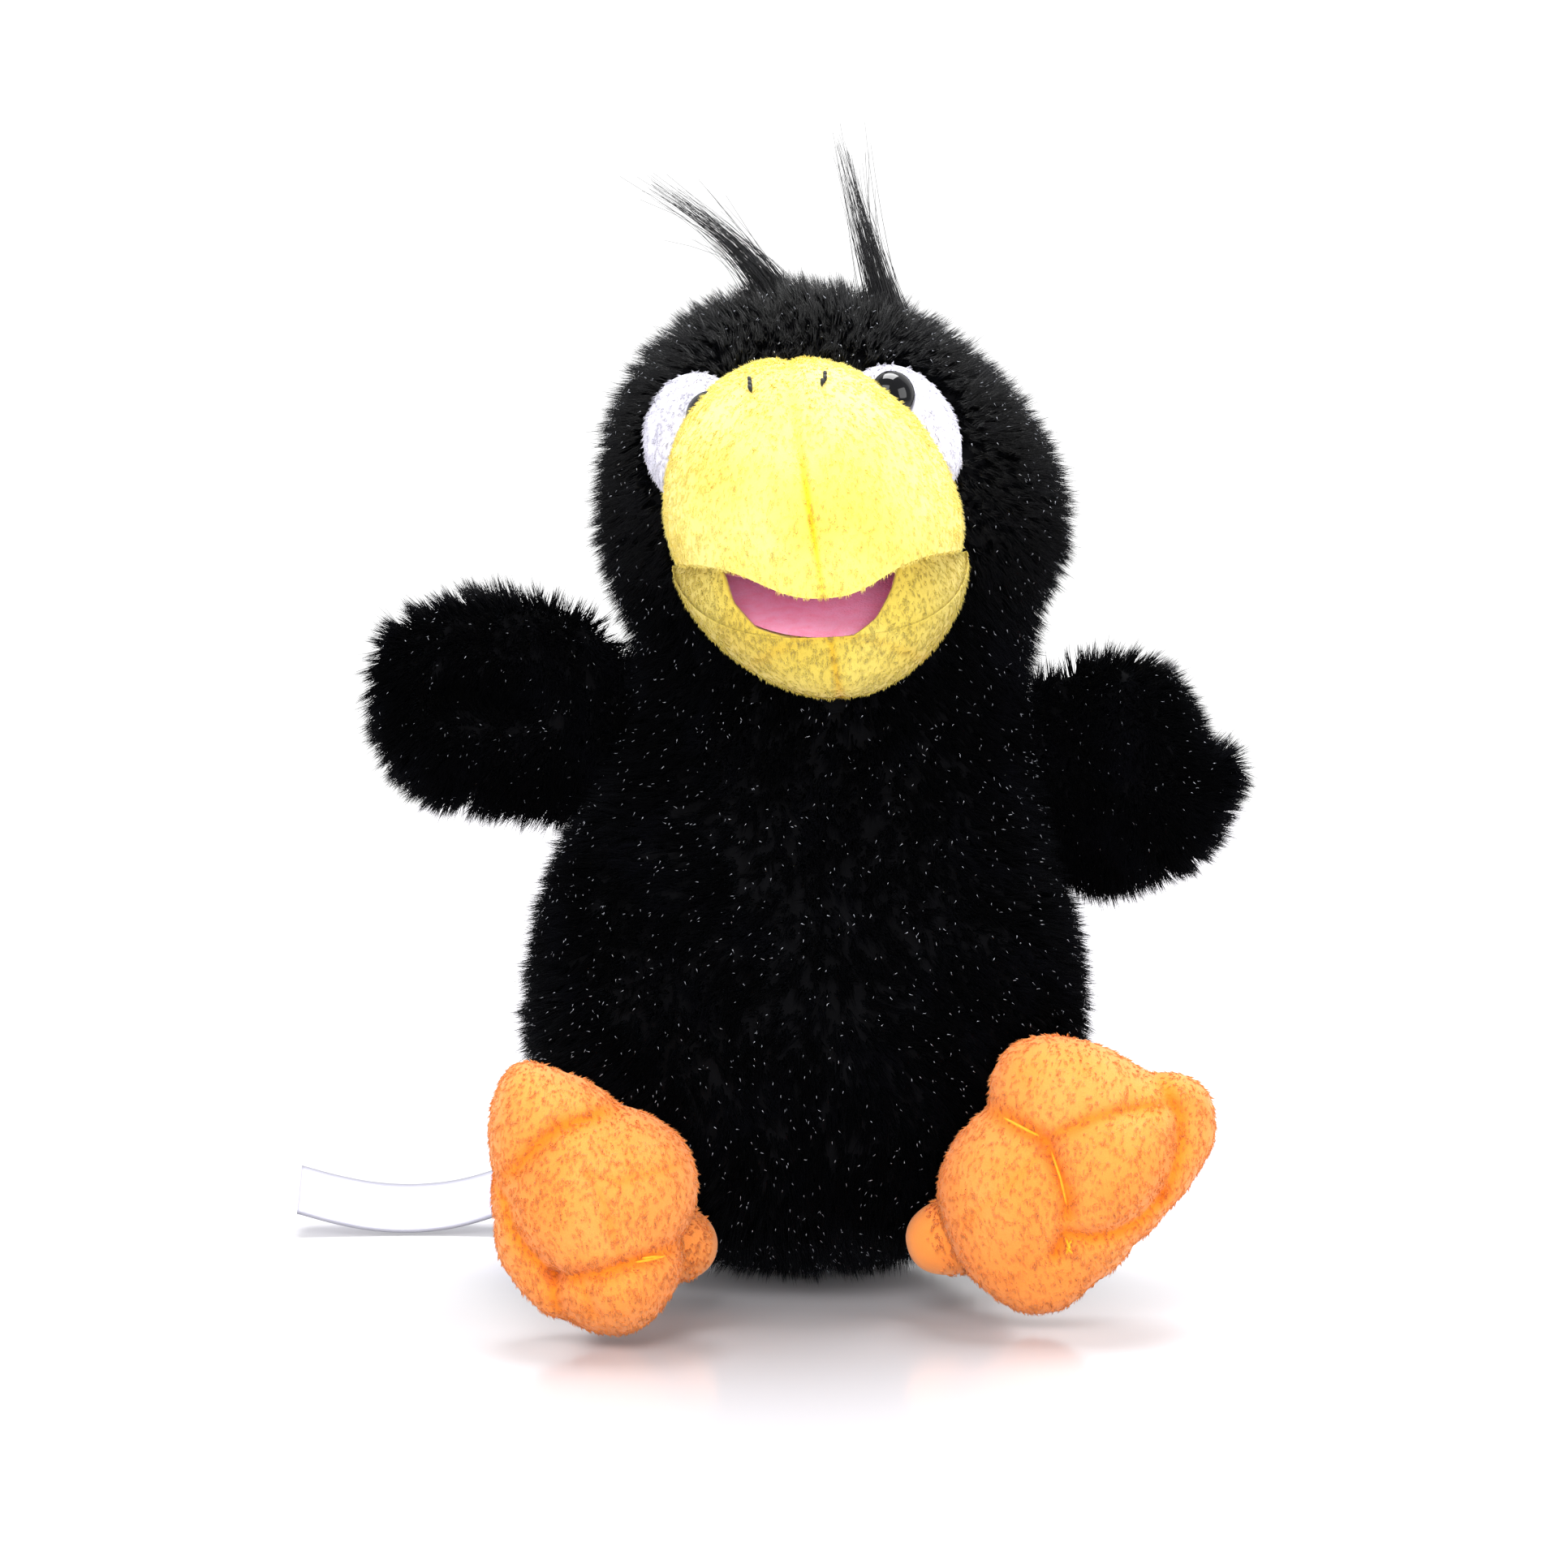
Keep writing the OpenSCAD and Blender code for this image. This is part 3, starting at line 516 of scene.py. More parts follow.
FUR_LENGTH, FUR_RADIUS, FUR_DENSITY = 9.0, 0.18, 2.9
fur_parts = [("body", "front", 0.56, 0.94), ("body", "left", -0.06, 0.25), ("body", "right", 0.25, 0.56),
             ("neck_low", "all", 0, 1), ("neck_high", "all", 0, 1), ("head", "front", 0.5, 1),
             ("head", "back", 0, 0.5)]
for index, (band, part, u_from, u_to) in enumerate(fur_parts):
    _, low_z, high_z = next(row for row in BANDS if row[0] == band)
    v_range = band_range(low_z, high_z)
    draw = np.random.default_rng(100 + index)
    area = scatter(backing, 1, draw, furry, v_range, (u_from, u_to))[2]
    # Painted shade: the fur's roots are darkened strongly towards the shade tone.
    fur = grow(f"{band}_fur_{part}", backing, int(min(area * FUR_DENSITY, 44000) * quality), draw,
               [fur_fibre], FUR_LENGTH, FUR_RADIUS / math.sqrt(quality), downwards, lean=0.55, root_shade=0.7,
               keep=furry, floor=0.4, v_range=v_range, u_range=(u_from, u_to))
    attach(fur, band, low_z, high_z)
    # A few bright fibres near the fur's tips: painted glints.
    tips = grow(f"{band}_fur_glints_{part}", inside(figure, 1.6), int(area * 0.06), draw, [fur_glint], 1.0,
                0.11, downwards, lean=1.0, tuft=1, spread=0, jitter=0.5, keep=furry, floor=0.4,
                v_range=v_range, u_range=(u_from, u_to))
    attach(tips, band, low_z, high_z)

# %% [markdown]
# ## The upper beak
#
# Two plush panels meet in a seam down the ridge and are stuffed to a round dome that ends in a
# drooping tip. Each slice across the beak is a rounded arch over a nearly flat underside, and the
# slices shrink towards the tip. The seam pulls a shallow groove along the ridge.
# %% Upper beak surface


def signed_power(value, power):
    """A power that keeps the sign, for slices that are fuller or leaner than an ellipse."""
    return np.sign(value) * np.abs(value) ** power


def upper_beak(u, v):
    """Arch over a flat sole: width by the cosine of the turn, height by its sine, both shrinking forwards."""
    turn = TURN * u
    back = np.clip((0.16 - v) / 0.16, 0, 1)
    along = np.clip((v - 0.16) / 0.84, 0, 1) * math.pi / 2
    shrink = np.cos(along) ** 0.8
    top = np.maximum(np.sin(turn), 0)
    under = np.maximum(-np.sin(turn), 0)
    groove = 1.1 * np.exp(-((turn - math.pi / 2) / 0.045) ** 2) * np.clip(shrink * 3, 0, 1)
    dimple = 1.3 * np.exp(-((turn - math.pi / 2) / 0.28) ** 2 - ((along - 0.95) / 0.16) ** 2)
    z = ((BEAK_H - groove - dimple) * top**0.9 - 1.6 * under**0.4) * shrink
    z = z + 2.0 * np.sin(2 * along) ** 2 * np.clip(1 - z / 14, 0, 1) - HOOK * np.sin(along) ** 14
    narrow = 1 - 0.045 * np.clip(1 - z / 12, 0, 1) ** 2
    x = BEAK_W * narrow * signed_power(np.cos(turn), 0.96) * shrink
    y = 14 * back - (BEAK_LEN - 0.5 * groove - dimple) * np.sin(along)
    return face(np.stack([x, y, z], -1))


def down_the_beak(centre):
    """Beak plush is brushed from the seam outwards and down towards the lip."""
    q = off_face(centre)
    return np.stack([0.35 * q[..., 0] / BEAK_W, -0.5 * np.ones(len(q)), -0.8 * np.ones(len(q))], -1)


def outwards(surface):
    """Minus one if a surface's u and v turn its normals inwards, so that the pile grows the right way."""
    u, v = np.array([0.1, 0.35, 0.6, 0.85]), np.full(4, 0.5)
    away = surface(u, v) - surface(u, v).mean(0)
    return 1 if np.sum(away * normals_of(surface, u, v)) > 0 else -1


def turned(surface):
    """The same surface with u run backwards, which turns its normals round."""
    return lambda u, v: surface(1 - u, v)


def outward(surface):
    return surface if outwards(surface) > 0 else turned(surface)


def solid_skin(name, surface, columns, rows, material, v_range=(0.0, 1.0)):
    """The surface as a closed skin: rows of points with a point at each end."""
    points = surface_grid(surface, columns, rows, *v_range)
    ends = np.stack([points[:columns].mean(0), points[-columns:].mean(0)])
    quads = grid_faces(columns, rows)
    corners = np.concatenate([quads[:, [0, 1, 2]], quads[:, [0, 2, 3]]])
    i = np.arange(columns)
    first = np.stack([np.full(columns, len(points)), (i + 1) % columns, i], -1)
    last = (rows - 1) * columns
    final = np.stack([np.full(columns, len(points) + 1), last + i, last + (i + 1) % columns], -1)
    faces = np.concatenate([corners, first, final])
    return make_piece(name, np.concatenate([points, ends]), faces, [material])


def beak_seam_painted_shade(p):
    """Painted shade: 1 along the ridge seam, fading out sideways, and strongest where the seam puckers."""
    q = off_face(p)
    pucker = np.exp(-(((q[:, 2] - 14) / 11) ** 2))
    return ((0.45 + 0.4 * pucker) * np.exp(-((q[:, 0] / 0.8) ** 2))
            + 0.32 * pucker * np.exp(-((q[:, 0] / 9) ** 2)))


beak_skin = outward(upper_beak)
print("beak slopes outwards:", outwards(upper_beak))
shell = solid_skin("upper_beak_plush", beak_skin, 170, 90, yellow_pile)
# Painted shade along the ridge seam and where it puckers.
shade(shell, beak_seam_painted_shade)
place(shell, "head", "yellow_plush", "upper_beak_left_panel", "upper_beak_right_panel")


def shown_beak(p):
    """The part of the beak's surface that is out of the fur and not under the pink lining."""
    q = off_face(p)
    in_plan = np.hypot(q[..., 0] / (BEAK_W - 2), q[..., 1] / (BEAK_LEN - 6)) < 1
    under = (q[..., 2] < 0.2) & in_plan & (q[..., 1] < 0)
    return (q[..., 1] < 8) & ~(under & (q[..., 1] > -BEAK_LEN + 8))


draw = np.random.default_rng(11)
# The beak's pile shares the seam's painted shade.
pile = grow("upper_beak_pile", beak_skin, int(35000 * quality), draw, [yellow_pile], 1.3,
            0.10 / math.sqrt(quality), down_the_beak, **SHORT_PILE, keep=shown_beak, deep=beak_seam_painted_shade)
place(pile, "head", "yellow_plush")

# %% [markdown]
# ## The lower beak
#
# The lower beak is a soft bowl, hung open on the crease at the back of the mouth. It is drawn shut,
# with a rounded keel below and a dished top, and then swung down by the angle that it rests at.
# %% Lower beak surface
JAW_W, JAW_LEN, JAW_DEPTH, MOUTH_OPEN = 35.0, 47.0, 25.0, math.radians(18)


def jaw_swing(p, angle=MOUTH_OPEN):
    """Turns face points about the hinge line, which swings the jaw down."""
    x, y, z = np.moveaxis(p, -1, 0)
    cosine, sine = math.cos(angle), math.sin(angle)
    return np.stack([x, y * cosine - z * sine, y * sine + z * cosine], -1)


def lower_beak(u, v):
    """Keel under a dished top: depth by the sine of the turn below, a shallow dish above."""
    turn = TURN * u
    along = v * math.pi / 2
    shrink = np.cos(along)
    keel, top = np.maximum(-np.sin(turn), 0), np.maximum(np.sin(turn), 0)
    start = 2 + 4.5 * keel
    seam = 0.8 * np.exp(-((turn - 1.5 * math.pi) / 0.05) ** 2)
    pleat = 1.2 * np.exp(-((keel - 0.55) / 0.06) ** 2 - ((along - 1.0) / 0.3) ** 2)
    x = JAW_W * np.cos(turn) * shrink**0.75
    z = -1 - (JAW_DEPTH - seam - pleat) * keel**1.3 * shrink**0.5 - 2.6 * top**0.6 * shrink**0.6
    y = -start - (JAW_LEN - start) * np.sin(along)
    return face(jaw_swing(np.stack([x, y, z], -1)))


def jaw_seam_painted_shade(p):
    """Painted shade: 1 on the keel seam of the lower beak and along the pleat under the mouth."""
    q = off_face(p)
    keel_line = np.exp(-((q[:, 0] / 0.9) ** 2))
    pleat_line = np.exp(-(((q[:, 2] + 15 + 0.02 * q[:, 0] ** 2) / 1.6) ** 2))
    return 0.8 * keel_line + 0.35 * pleat_line


jaw_skin = outward(lower_beak)
jaw = solid_skin("lower_beak_plush", jaw_skin, 140, 80, jaw_pile_painted_shade)
# Painted shade along the keel seam and the pleat.
shade(jaw, jaw_seam_painted_shade)
place(jaw, "jaw", "yellow_plush", "lower_beak_left_panel", "lower_beak_right_panel")


def jaw_numbers(p):
    """A point of the lower beak in the shut jaw's own numbers."""
    return jaw_swing(off_face(p), -MOUTH_OPEN)


def shown_jaw(p):
    """Outside of the bowl and its lip, not the part under the pink lining."""
    q = jaw_numbers(p)
    lining = (q[..., 2] > -5) & (np.hypot(q[..., 0] / (JAW_W - 6), q[..., 1] / (JAW_LEN - 3)) < 1)
    return ~lining


draw = np.random.default_rng(12)
# The lower beak's pile shares the painted shade of its seam and pleat.
pile = grow("lower_beak_pile", jaw_skin, int(20000 * quality), draw, [jaw_pile_painted_shade], 1.25,
            0.097 / math.sqrt(quality), down_the_beak, **SHORT_PILE, keep=shown_jaw, deep=jaw_seam_painted_shade)
place(pile, "jaw", "yellow_plush")

# %% [markdown]
# ## The mouth lining
#
# Two leaves of pink fleece line the mouth and meet in the crease of the hinge. Each is a thin
# cushion in the plan of its beak: flat, with a rolled edge that is sewn to the plush.
# %% Mouth leaves


def mouth_leaf(wide, long, thick, sag, lift, swing, fade):
    """Half an ellipse in plan, closed at the hinge: an outline that grows from its middle to its rim."""
    def leaf(u, v):
        turn = TURN * u
        grow_out = np.sin(v * math.pi) ** 0.6
        x = wide * np.cos(turn)
        y = -long * np.maximum(np.sin(turn), 0) ** 0.9 + 2.0 * np.maximum(-np.sin(turn), 0)
        middle_y = -0.4 * long
        x, y = x * grow_out, middle_y + (y - middle_y) * grow_out
        z = lift + thick * np.cos(v * math.pi) - sag * (1 - grow_out**2) - fade * (y / long) ** 4
        p = np.stack([x, y, z], -1)
        return face(jaw_swing(p) if swing else p)
    return leaf


for name, body, leaf, node in (
        ("upper_mouth_fleece", "head", mouth_leaf(BEAK_W - 8, BEAK_LEN - 8, 0.7, -0.3, -1.3, False, 1.2),
         "upper_mouth_lining"),
        ("lower_mouth_fleece", "jaw", mouth_leaf(JAW_W - 7.5, JAW_LEN - 2.0, 0.6, 0.8, -2.0, True, 0.0),
         "lower_mouth_lining")):
    lining = solid_skin(name, outward(leaf), 120, 40, pink_fleece, (0.01, 0.99))
    place(lining, body, "pink_fleece", node)

# %% [markdown]
# ## Mouth corners
#
# At each corner the plush of the lower beak is sewn up to the upper lip, so the mouth closes to a
# point well in front of its hinge. This gusset is the only cloth that both beaks share; it is fixed
# where it is drawn and rides on neither head nor jaw.
# %% Corner gussets

# Share of the gap that the gusset closes, by degrees forwards from the hinge, for each side
GAP_CLOSED = {1: ([0, 54, 60, 66, 76, 86], [1, 1, 0.86, 0.6, 0.27, 0.06]),
              -1: ([0, 45, 50, 55, 66, 86], [1, 1, 0.78, 0.45, 0.17, 0.03])}


def gusset(side):
    """Strip from the lower rim (v 0) up to the lip (v 1), from the hinge (u 0) to its point (u 1)."""
    def surface(u, v):
        along = np.radians(4 + 82 * u)
        low = face(jaw_swing(np.stack([side * (JAW_W - 0.6) * np.cos(along)**0.75, -2 - 45 * np.sin(along),
                                       -2.6 + 0 * along], -1)))
        lip = face(np.stack([side * (0.955 * BEAK_W - 3.0) * np.cos(along)**0.8,
                             -(BEAK_LEN - 5) * np.sin(along), 1.5 + 0 * along], -1))
        rise = np.interp(np.degrees(along), *GAP_CLOSED[side])
        top = low + (lip - low) * rise[:, None]
        puff = 1.0 * np.sin(math.pi * np.clip(v, 0, 1)) * rise
        out = unit(np.stack([side * np.cos(along), -0.5 * np.sin(along), 0 * along], -1))
        return low + (top - low) * v[:, None] + out * puff[:, None]
    return surface


for side, word in SIDES:
    strip = gusset(side)
    if side > 0:
        strip = turned(strip)
    u, v = np.meshgrid(np.linspace(0, 1, 60), np.linspace(0, 1, 14))
    points, quads = strip(u.ravel(), v.ravel()), grid_faces(60, 14, closed=False)
    if np.mean(side * normals_of(strip, u.ravel(), v.ravel())[:, 0]) < 0:
        quads = quads[:, ::-1]
    cheek = make_piece(f"{word}_mouth_corner", points, quads, [jaw_pile_painted_shade, pink_fleece])
    # Even painted shade over the whole corner strip.
    shade(cheek, lambda p: 0 * p[:, 0])
    thicken(cheek, 1.2).material_offset = 1
    draw = np.random.default_rng(15 + side)
    fuzz = grow(f"{word}_mouth_corner_pile", strip, int(2600 * quality), draw, [jaw_pile_painted_shade],
                1.25, 0.085, down_the_beak, **SHORT_PILE)
    start, end = face(np.array([0, -34.0, 0.0])) * MM, face(jaw_swing(np.array([0, -34.0, -2.0]))) * MM
    for piece in (cheek, fuzz):
        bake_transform(piece)

# %% [markdown]
# ## Eyes
#
# Each eye is a moulded dome with a small rim, pressed through a white plush patch. The patch follows
# the head, so its points are found on the head's own outline and then moved a little inwards.
# %% Eye patches and domes
head_rows = figure_rows[np.argmax(figure_rows[:, 0] > 150):-8]


def head_front(x, z, depth):
    """The front of the head at a side place and a height, a given depth inside the fur's outline."""
    wide, deep, mid_x, mid_y = (np.interp(z, head_rows[:, 0], head_rows[:, k]) for k in (1, 2, 3, 4))
    part = np.clip((x - mid_x) / (wide - depth), -0.995, 0.995)
    return np.stack([x, mid_y - (deep - depth) * np.sqrt(1 - part**2), z], -1)


def patch_surface(side):
    def surface(u, v):
        """A leaning oval on the head: rim distance by v, with a front and a back a pile apart."""
        turn = TURN * u
        rim = np.sin(v * math.pi) ** 0.5
        along, up = PATCH_W * rim * np.cos(turn), PATCH_H * rim * np.sin(turn)
        x = side * PATCH_X + along * math.cos(PATCH_LEAN) - side * up * math.sin(PATCH_LEAN)
        z = PATCH_Z + side * along * math.sin(PATCH_LEAN) + up * math.cos(PATCH_LEAN)
        on_head = face(np.stack([x, 0 * x, z], -1))
        depth = 3.0 - 2.2 * np.cos(v * math.pi) * rim**0.3 + 1.4 * rim**4
        return head_front(on_head[..., 0], on_head[..., 2], depth)
    return surface


EYE_X, EYE_Y, EYE_Z, EYE_R, DOME_H = 23.2, 2.2, 35.6, 6.0, 4.6


def eye_place(side):
    """Where an eye is pressed in: the right one sits a little lower and deeper than the left one."""
    return np.array([side * EYE_X, EYE_Y, EYE_Z]) + (np.array([2.4, 0.6, -2.6]) if side < 0 else 0)


def dome(side):
    """A turned dome: a cap of a ball, a small step for the rim, and the shank behind it."""
    profile = np.array([[0.01, DOME_H], [1.5, 4.45], [3, 3.98], [4.3, 3.1], [5.2, 2.1], [5.7, 1.2],
                        [5.9, 0.5], [6.0, 0.1], [5.9, -0.3], [5.2, -0.6], [2.0, -0.7], [2.0, -11.5],
                        [0.01, -12]])
    profile = smooth_rows(np.concatenate([profile, np.zeros((len(profile), 1))], 1), 60)[:, :2]
    centre = face(eye_place(side))
    turn_z, tip = math.radians(32 * side), math.radians(90 - 12)
    spin, lay = rotation("z", turn_z), rotation("x", tip)

    def surface(u, v):
        k = np.clip(v, 0, 1) * (len(profile) - 1)
        r, z = (np.interp(k, np.arange(len(profile)), profile[:, c]) for c in (0, 1))
        p = np.stack([r * np.cos(TURN * u), r * np.sin(TURN * u), z], -1)
        return centre + p @ (spin @ lay).T
    return surface


def off_eye(side):
    """No pile under the dome or in its way."""
    centre = face(eye_place(side))
    return lambda p: (p[..., 1] < 10) & (np.linalg.norm(p - centre, axis=-1) > EYE_R + 1.0)


for side, word in SIDES:
    patch = outward(patch_surface(side))
    cover = solid_skin(f"{word}_eye_patch_plush", patch, 72, 36, white_pile, (0.01, 0.99))
    draw = np.random.default_rng(20 + side)
    fuzz = grow(f"{word}_eye_patch_pile", patch, int(6500 * quality), draw, [white_pile], 1.2, 0.118,
                downwards, lean=1.2, tuft=4, spread=0.4, gather=0.3, root_shade=0.05, keep=off_eye(side))
    eye = solid_skin(f"{word}_eye_dome", outward(dome(side)), 64, 60, eye_plastic)
    for piece, slot in ((cover, "white_plush"), (fuzz, "white_plush"), (eye, "eye_plastic")):
        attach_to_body(piece, "head")
    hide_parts(f"{word}_eye_patch")
    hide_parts(f"{word}_eye")

# %% [markdown]
# ## Fibre filling
#
# Loose fibre fill gives the head, beak, wings and feet their roundness. None of it shows on a whole
# puppet, so each filling is simply the cover's own surface drawn again a little further in.
# %% Fillings
filling = cloth("fibre_filling", [(0.78, 0.78, 0.76), (0.86, 0.86, 0.84)], 200, roughness=0.95, bump=0.8,
                bump_scale=900)


def open_skin(name, surface, columns, rows, material, v_range, drop, thickness):
    """A skin with some faces left out and a wall of a given thickness on its inner side."""
    points = surface_grid(surface, columns, rows, *v_range)
    quads = grid_faces(columns, rows)
    piece = make_piece(name, points, quads[~drop(points[quads].mean(1))], [material])
    thicken(piece, thickness)
    return piece


belly = open_skin("body_filling", inside(figure, 10.5), 96, 60, filling, (height_share(3), height_share(118)),
                  lambda p: (p[:, 1] > 0) & (from_opening(p) < 39), 9)
place(belly, "body", "stuffing", "body_stuffing")
crown = solid_skin("head_filling", inside(figure, 10.5), 96, 30, filling, (height_share(208), 0.985))
place(crown, "head", "stuffing", "head_stuffing")


def arch_filling(surface_height, wide, long, floor_z, sign, frame_of):
    """A filling over a flat floor: the arch of a slice by u up to 0.75, then back along the floor."""
    def surface(u, v):
        u = np.mod(u, 1)
        along = 0.02 + 0.96 * v * math.pi / 2
        shrink = np.maximum(np.cos(along), 0.02) ** 0.8
        low = np.arcsin(np.clip((floor_z / surface_height) / shrink, 0, 0.999))
        arch = low + (math.pi - 2 * low) * np.clip(u / 0.75, 0, 1)
        back = np.clip((u - 0.75) / 0.25, 0, 1)
        x = wide * shrink * (np.cos(arch) + 2 * back * np.cos(low))
        z = np.maximum(surface_height * shrink * np.sin(arch) * (back == 0), floor_z)
        return frame_of(np.stack([x, -3 - (long - 3) * np.sin(along), sign * z], -1))
    return surface


ridge = arch_filling(BEAK_H - 5, BEAK_W - 5, 0.84 * BEAK_LEN, 22, 1, face)
place(solid_skin("upper_beak_filling", outward(ridge), 48, 16, filling, (0, 0.66)), "head", "stuffing",
      "upper_beak_stuffing")
chin = arch_filling(JAW_DEPTH - 3.5, JAW_W - 7, 0.84 * JAW_LEN, 15, -1, lambda p: face(jaw_swing(p)))
place(solid_skin("lower_beak_filling", outward(chin), 48, 16, filling, (0.15, 0.5)), "jaw", "stuffing",
      "lower_beak_stuffing")

# %% [markdown]
# ## Wings
#
# A wing is a flat mitten of the same fur, sewn into the side seam and lightly stuffed. It is drawn
# straight, as slices along its span, and then set on the body at its own angle. Its cover and fur
# are fixed where they are drawn; only the filling rides the wing.
# %% Wing surface
WINGS = {
    "left": (1, [63.2, -1, 122.5], 9, 8, [
        [-13, 24, 24, 10], [0, 29, 31, 11], [6, 30.5, 32.3, 11.5], [13.5, 31.3, 32, 13], [20, 31, 31, 15],
        [27, 28.7, 29.3, 16], [32, 23.5, 27.4, 15.5], [35, 15.5, 25.3, 14], [38, 8, 22, 12.5],
        [42, 6, 16.5, 10.5], [45.5, 4.5, 11, 8], [48.2, 1.5, 6.5, 4.5], [49.3, -2.5, 3.6, 1.5]]),
    "right": (-1, [-52.3, -1, 134], 16, 8, [
        [-13, 22, 22, 10], [0, 25.5, 26, 11], [7, 29.5, 27, 12], [15, 31, 27.8, 13.5], [27, 31.5, 28.8, 15.5],
        [35, 30, 29.8, 16], [41, 28, 28.3, 15.5], [47, 25.5, 25.2, 14.5], [52, 22, 20, 12.5],
        [56.5, 17.5, 12, 9.5], [59.5, 12, 5, 6], [61, 7, -1.5, 2]])}


def wing(word, inset, crease):
    """Slice by slice: height above and below the middle line by the cosine, half thickness by the sine."""
    side, seam, angle, sweep, table = WINGS[word]
    rows = smooth_rows(table, 140)
    spin_z, spin_y = math.radians(-side * sweep), math.radians(-side * angle)
    about_z, about_y = rotation("z", spin_z), rotation("y", spin_y)

    def surface(u, v):
        k = np.clip(v, 0, 1) * (len(rows) - 1)
        s, above, below, thick = (np.interp(k, np.arange(len(rows)), column) for column in rows.T)
        half, lift = (above + below) / 2, (above - below) / 2
        half, thick = np.maximum(half - inset, 0.5), np.maximum(thick - inset, 0.4)
        turn = TURN * u
        up = half * np.cos(turn)
        fold = crease * np.exp(-((up - 2) / 5) ** 2 - ((s - 32) / 14) ** 4) * (np.sin(turn) < 0)
        end = rows[-1, 0]
        shrunk = s - inset * np.maximum(s, 0) / end
        p = np.stack([side * shrunk, (thick - fold) * np.sin(turn), lift + up], -1)
        return np.array(seam) + p @ (about_y @ about_z).T
    return surface


def wing_comb(word):
    """Wing pile lies from the seam to the tip and a little down."""
    side = WINGS[word][0]

    def comb(centre):
        x, _, z = centre.T
        return np.stack([side * (0.8 + 0.4 * np.sin(z / 9)), 0.3 * np.sin(x / 8),
                         -0.7 + 0.4 * np.sin(x / 7)], -1)
    return comb


for index, word in enumerate(("left", "right")):
    side, seam, angle = WINGS[word][:3]
    crease = 6.0 if word == "right" else 2.0
    skin_surface = outward(wing(word, 6.0, crease))
    skin = solid_skin(f"{word}_wing_fur_backing", skin_surface, 90, 60, fur_cloth)
    draw = np.random.default_rng(40 + index)
    pieces = [skin]
    for half, span in enumerate(((0.0, 0.5), (0.5, 1.0))):
        pieces.append(grow(f"{word}_wing_fur_{half}", skin_surface, int(17500 * quality), draw,
                           [fur_fibre], 8.2, FUR_RADIUS / math.sqrt(quality), wing_comb(word),
                           lean=0.5, root_shade=0.7, u_range=span))
    # Painted glints on the wing: a few bright fibres near its tips.
    pieces.append(grow(f"{word}_wing_glints", outward(wing(word, 1.6, crease)), 420, draw, [fur_glint], 0.9,
                       0.09, wing_comb(word), lean=1.0, tuft=1, spread=0, jitter=0.5))
    out = np.array([side * math.cos(math.radians(angle)), 0, math.sin(math.radians(angle))])
    start, end = (np.array(seam) - 4 * out) * MM, (np.array(seam) + 9 * out) * MM
    for piece in pieces:
        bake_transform(piece)
    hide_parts(f"{word}_wing_cover")
    core = solid_skin(f"{word}_wing_filling", outward(wing(word, 8.5, crease)), 60, 40, filling, (0.12, 0.97))
    place(core, f"{word}_wing", "stuffing", f"{word}_wing_stuffing")

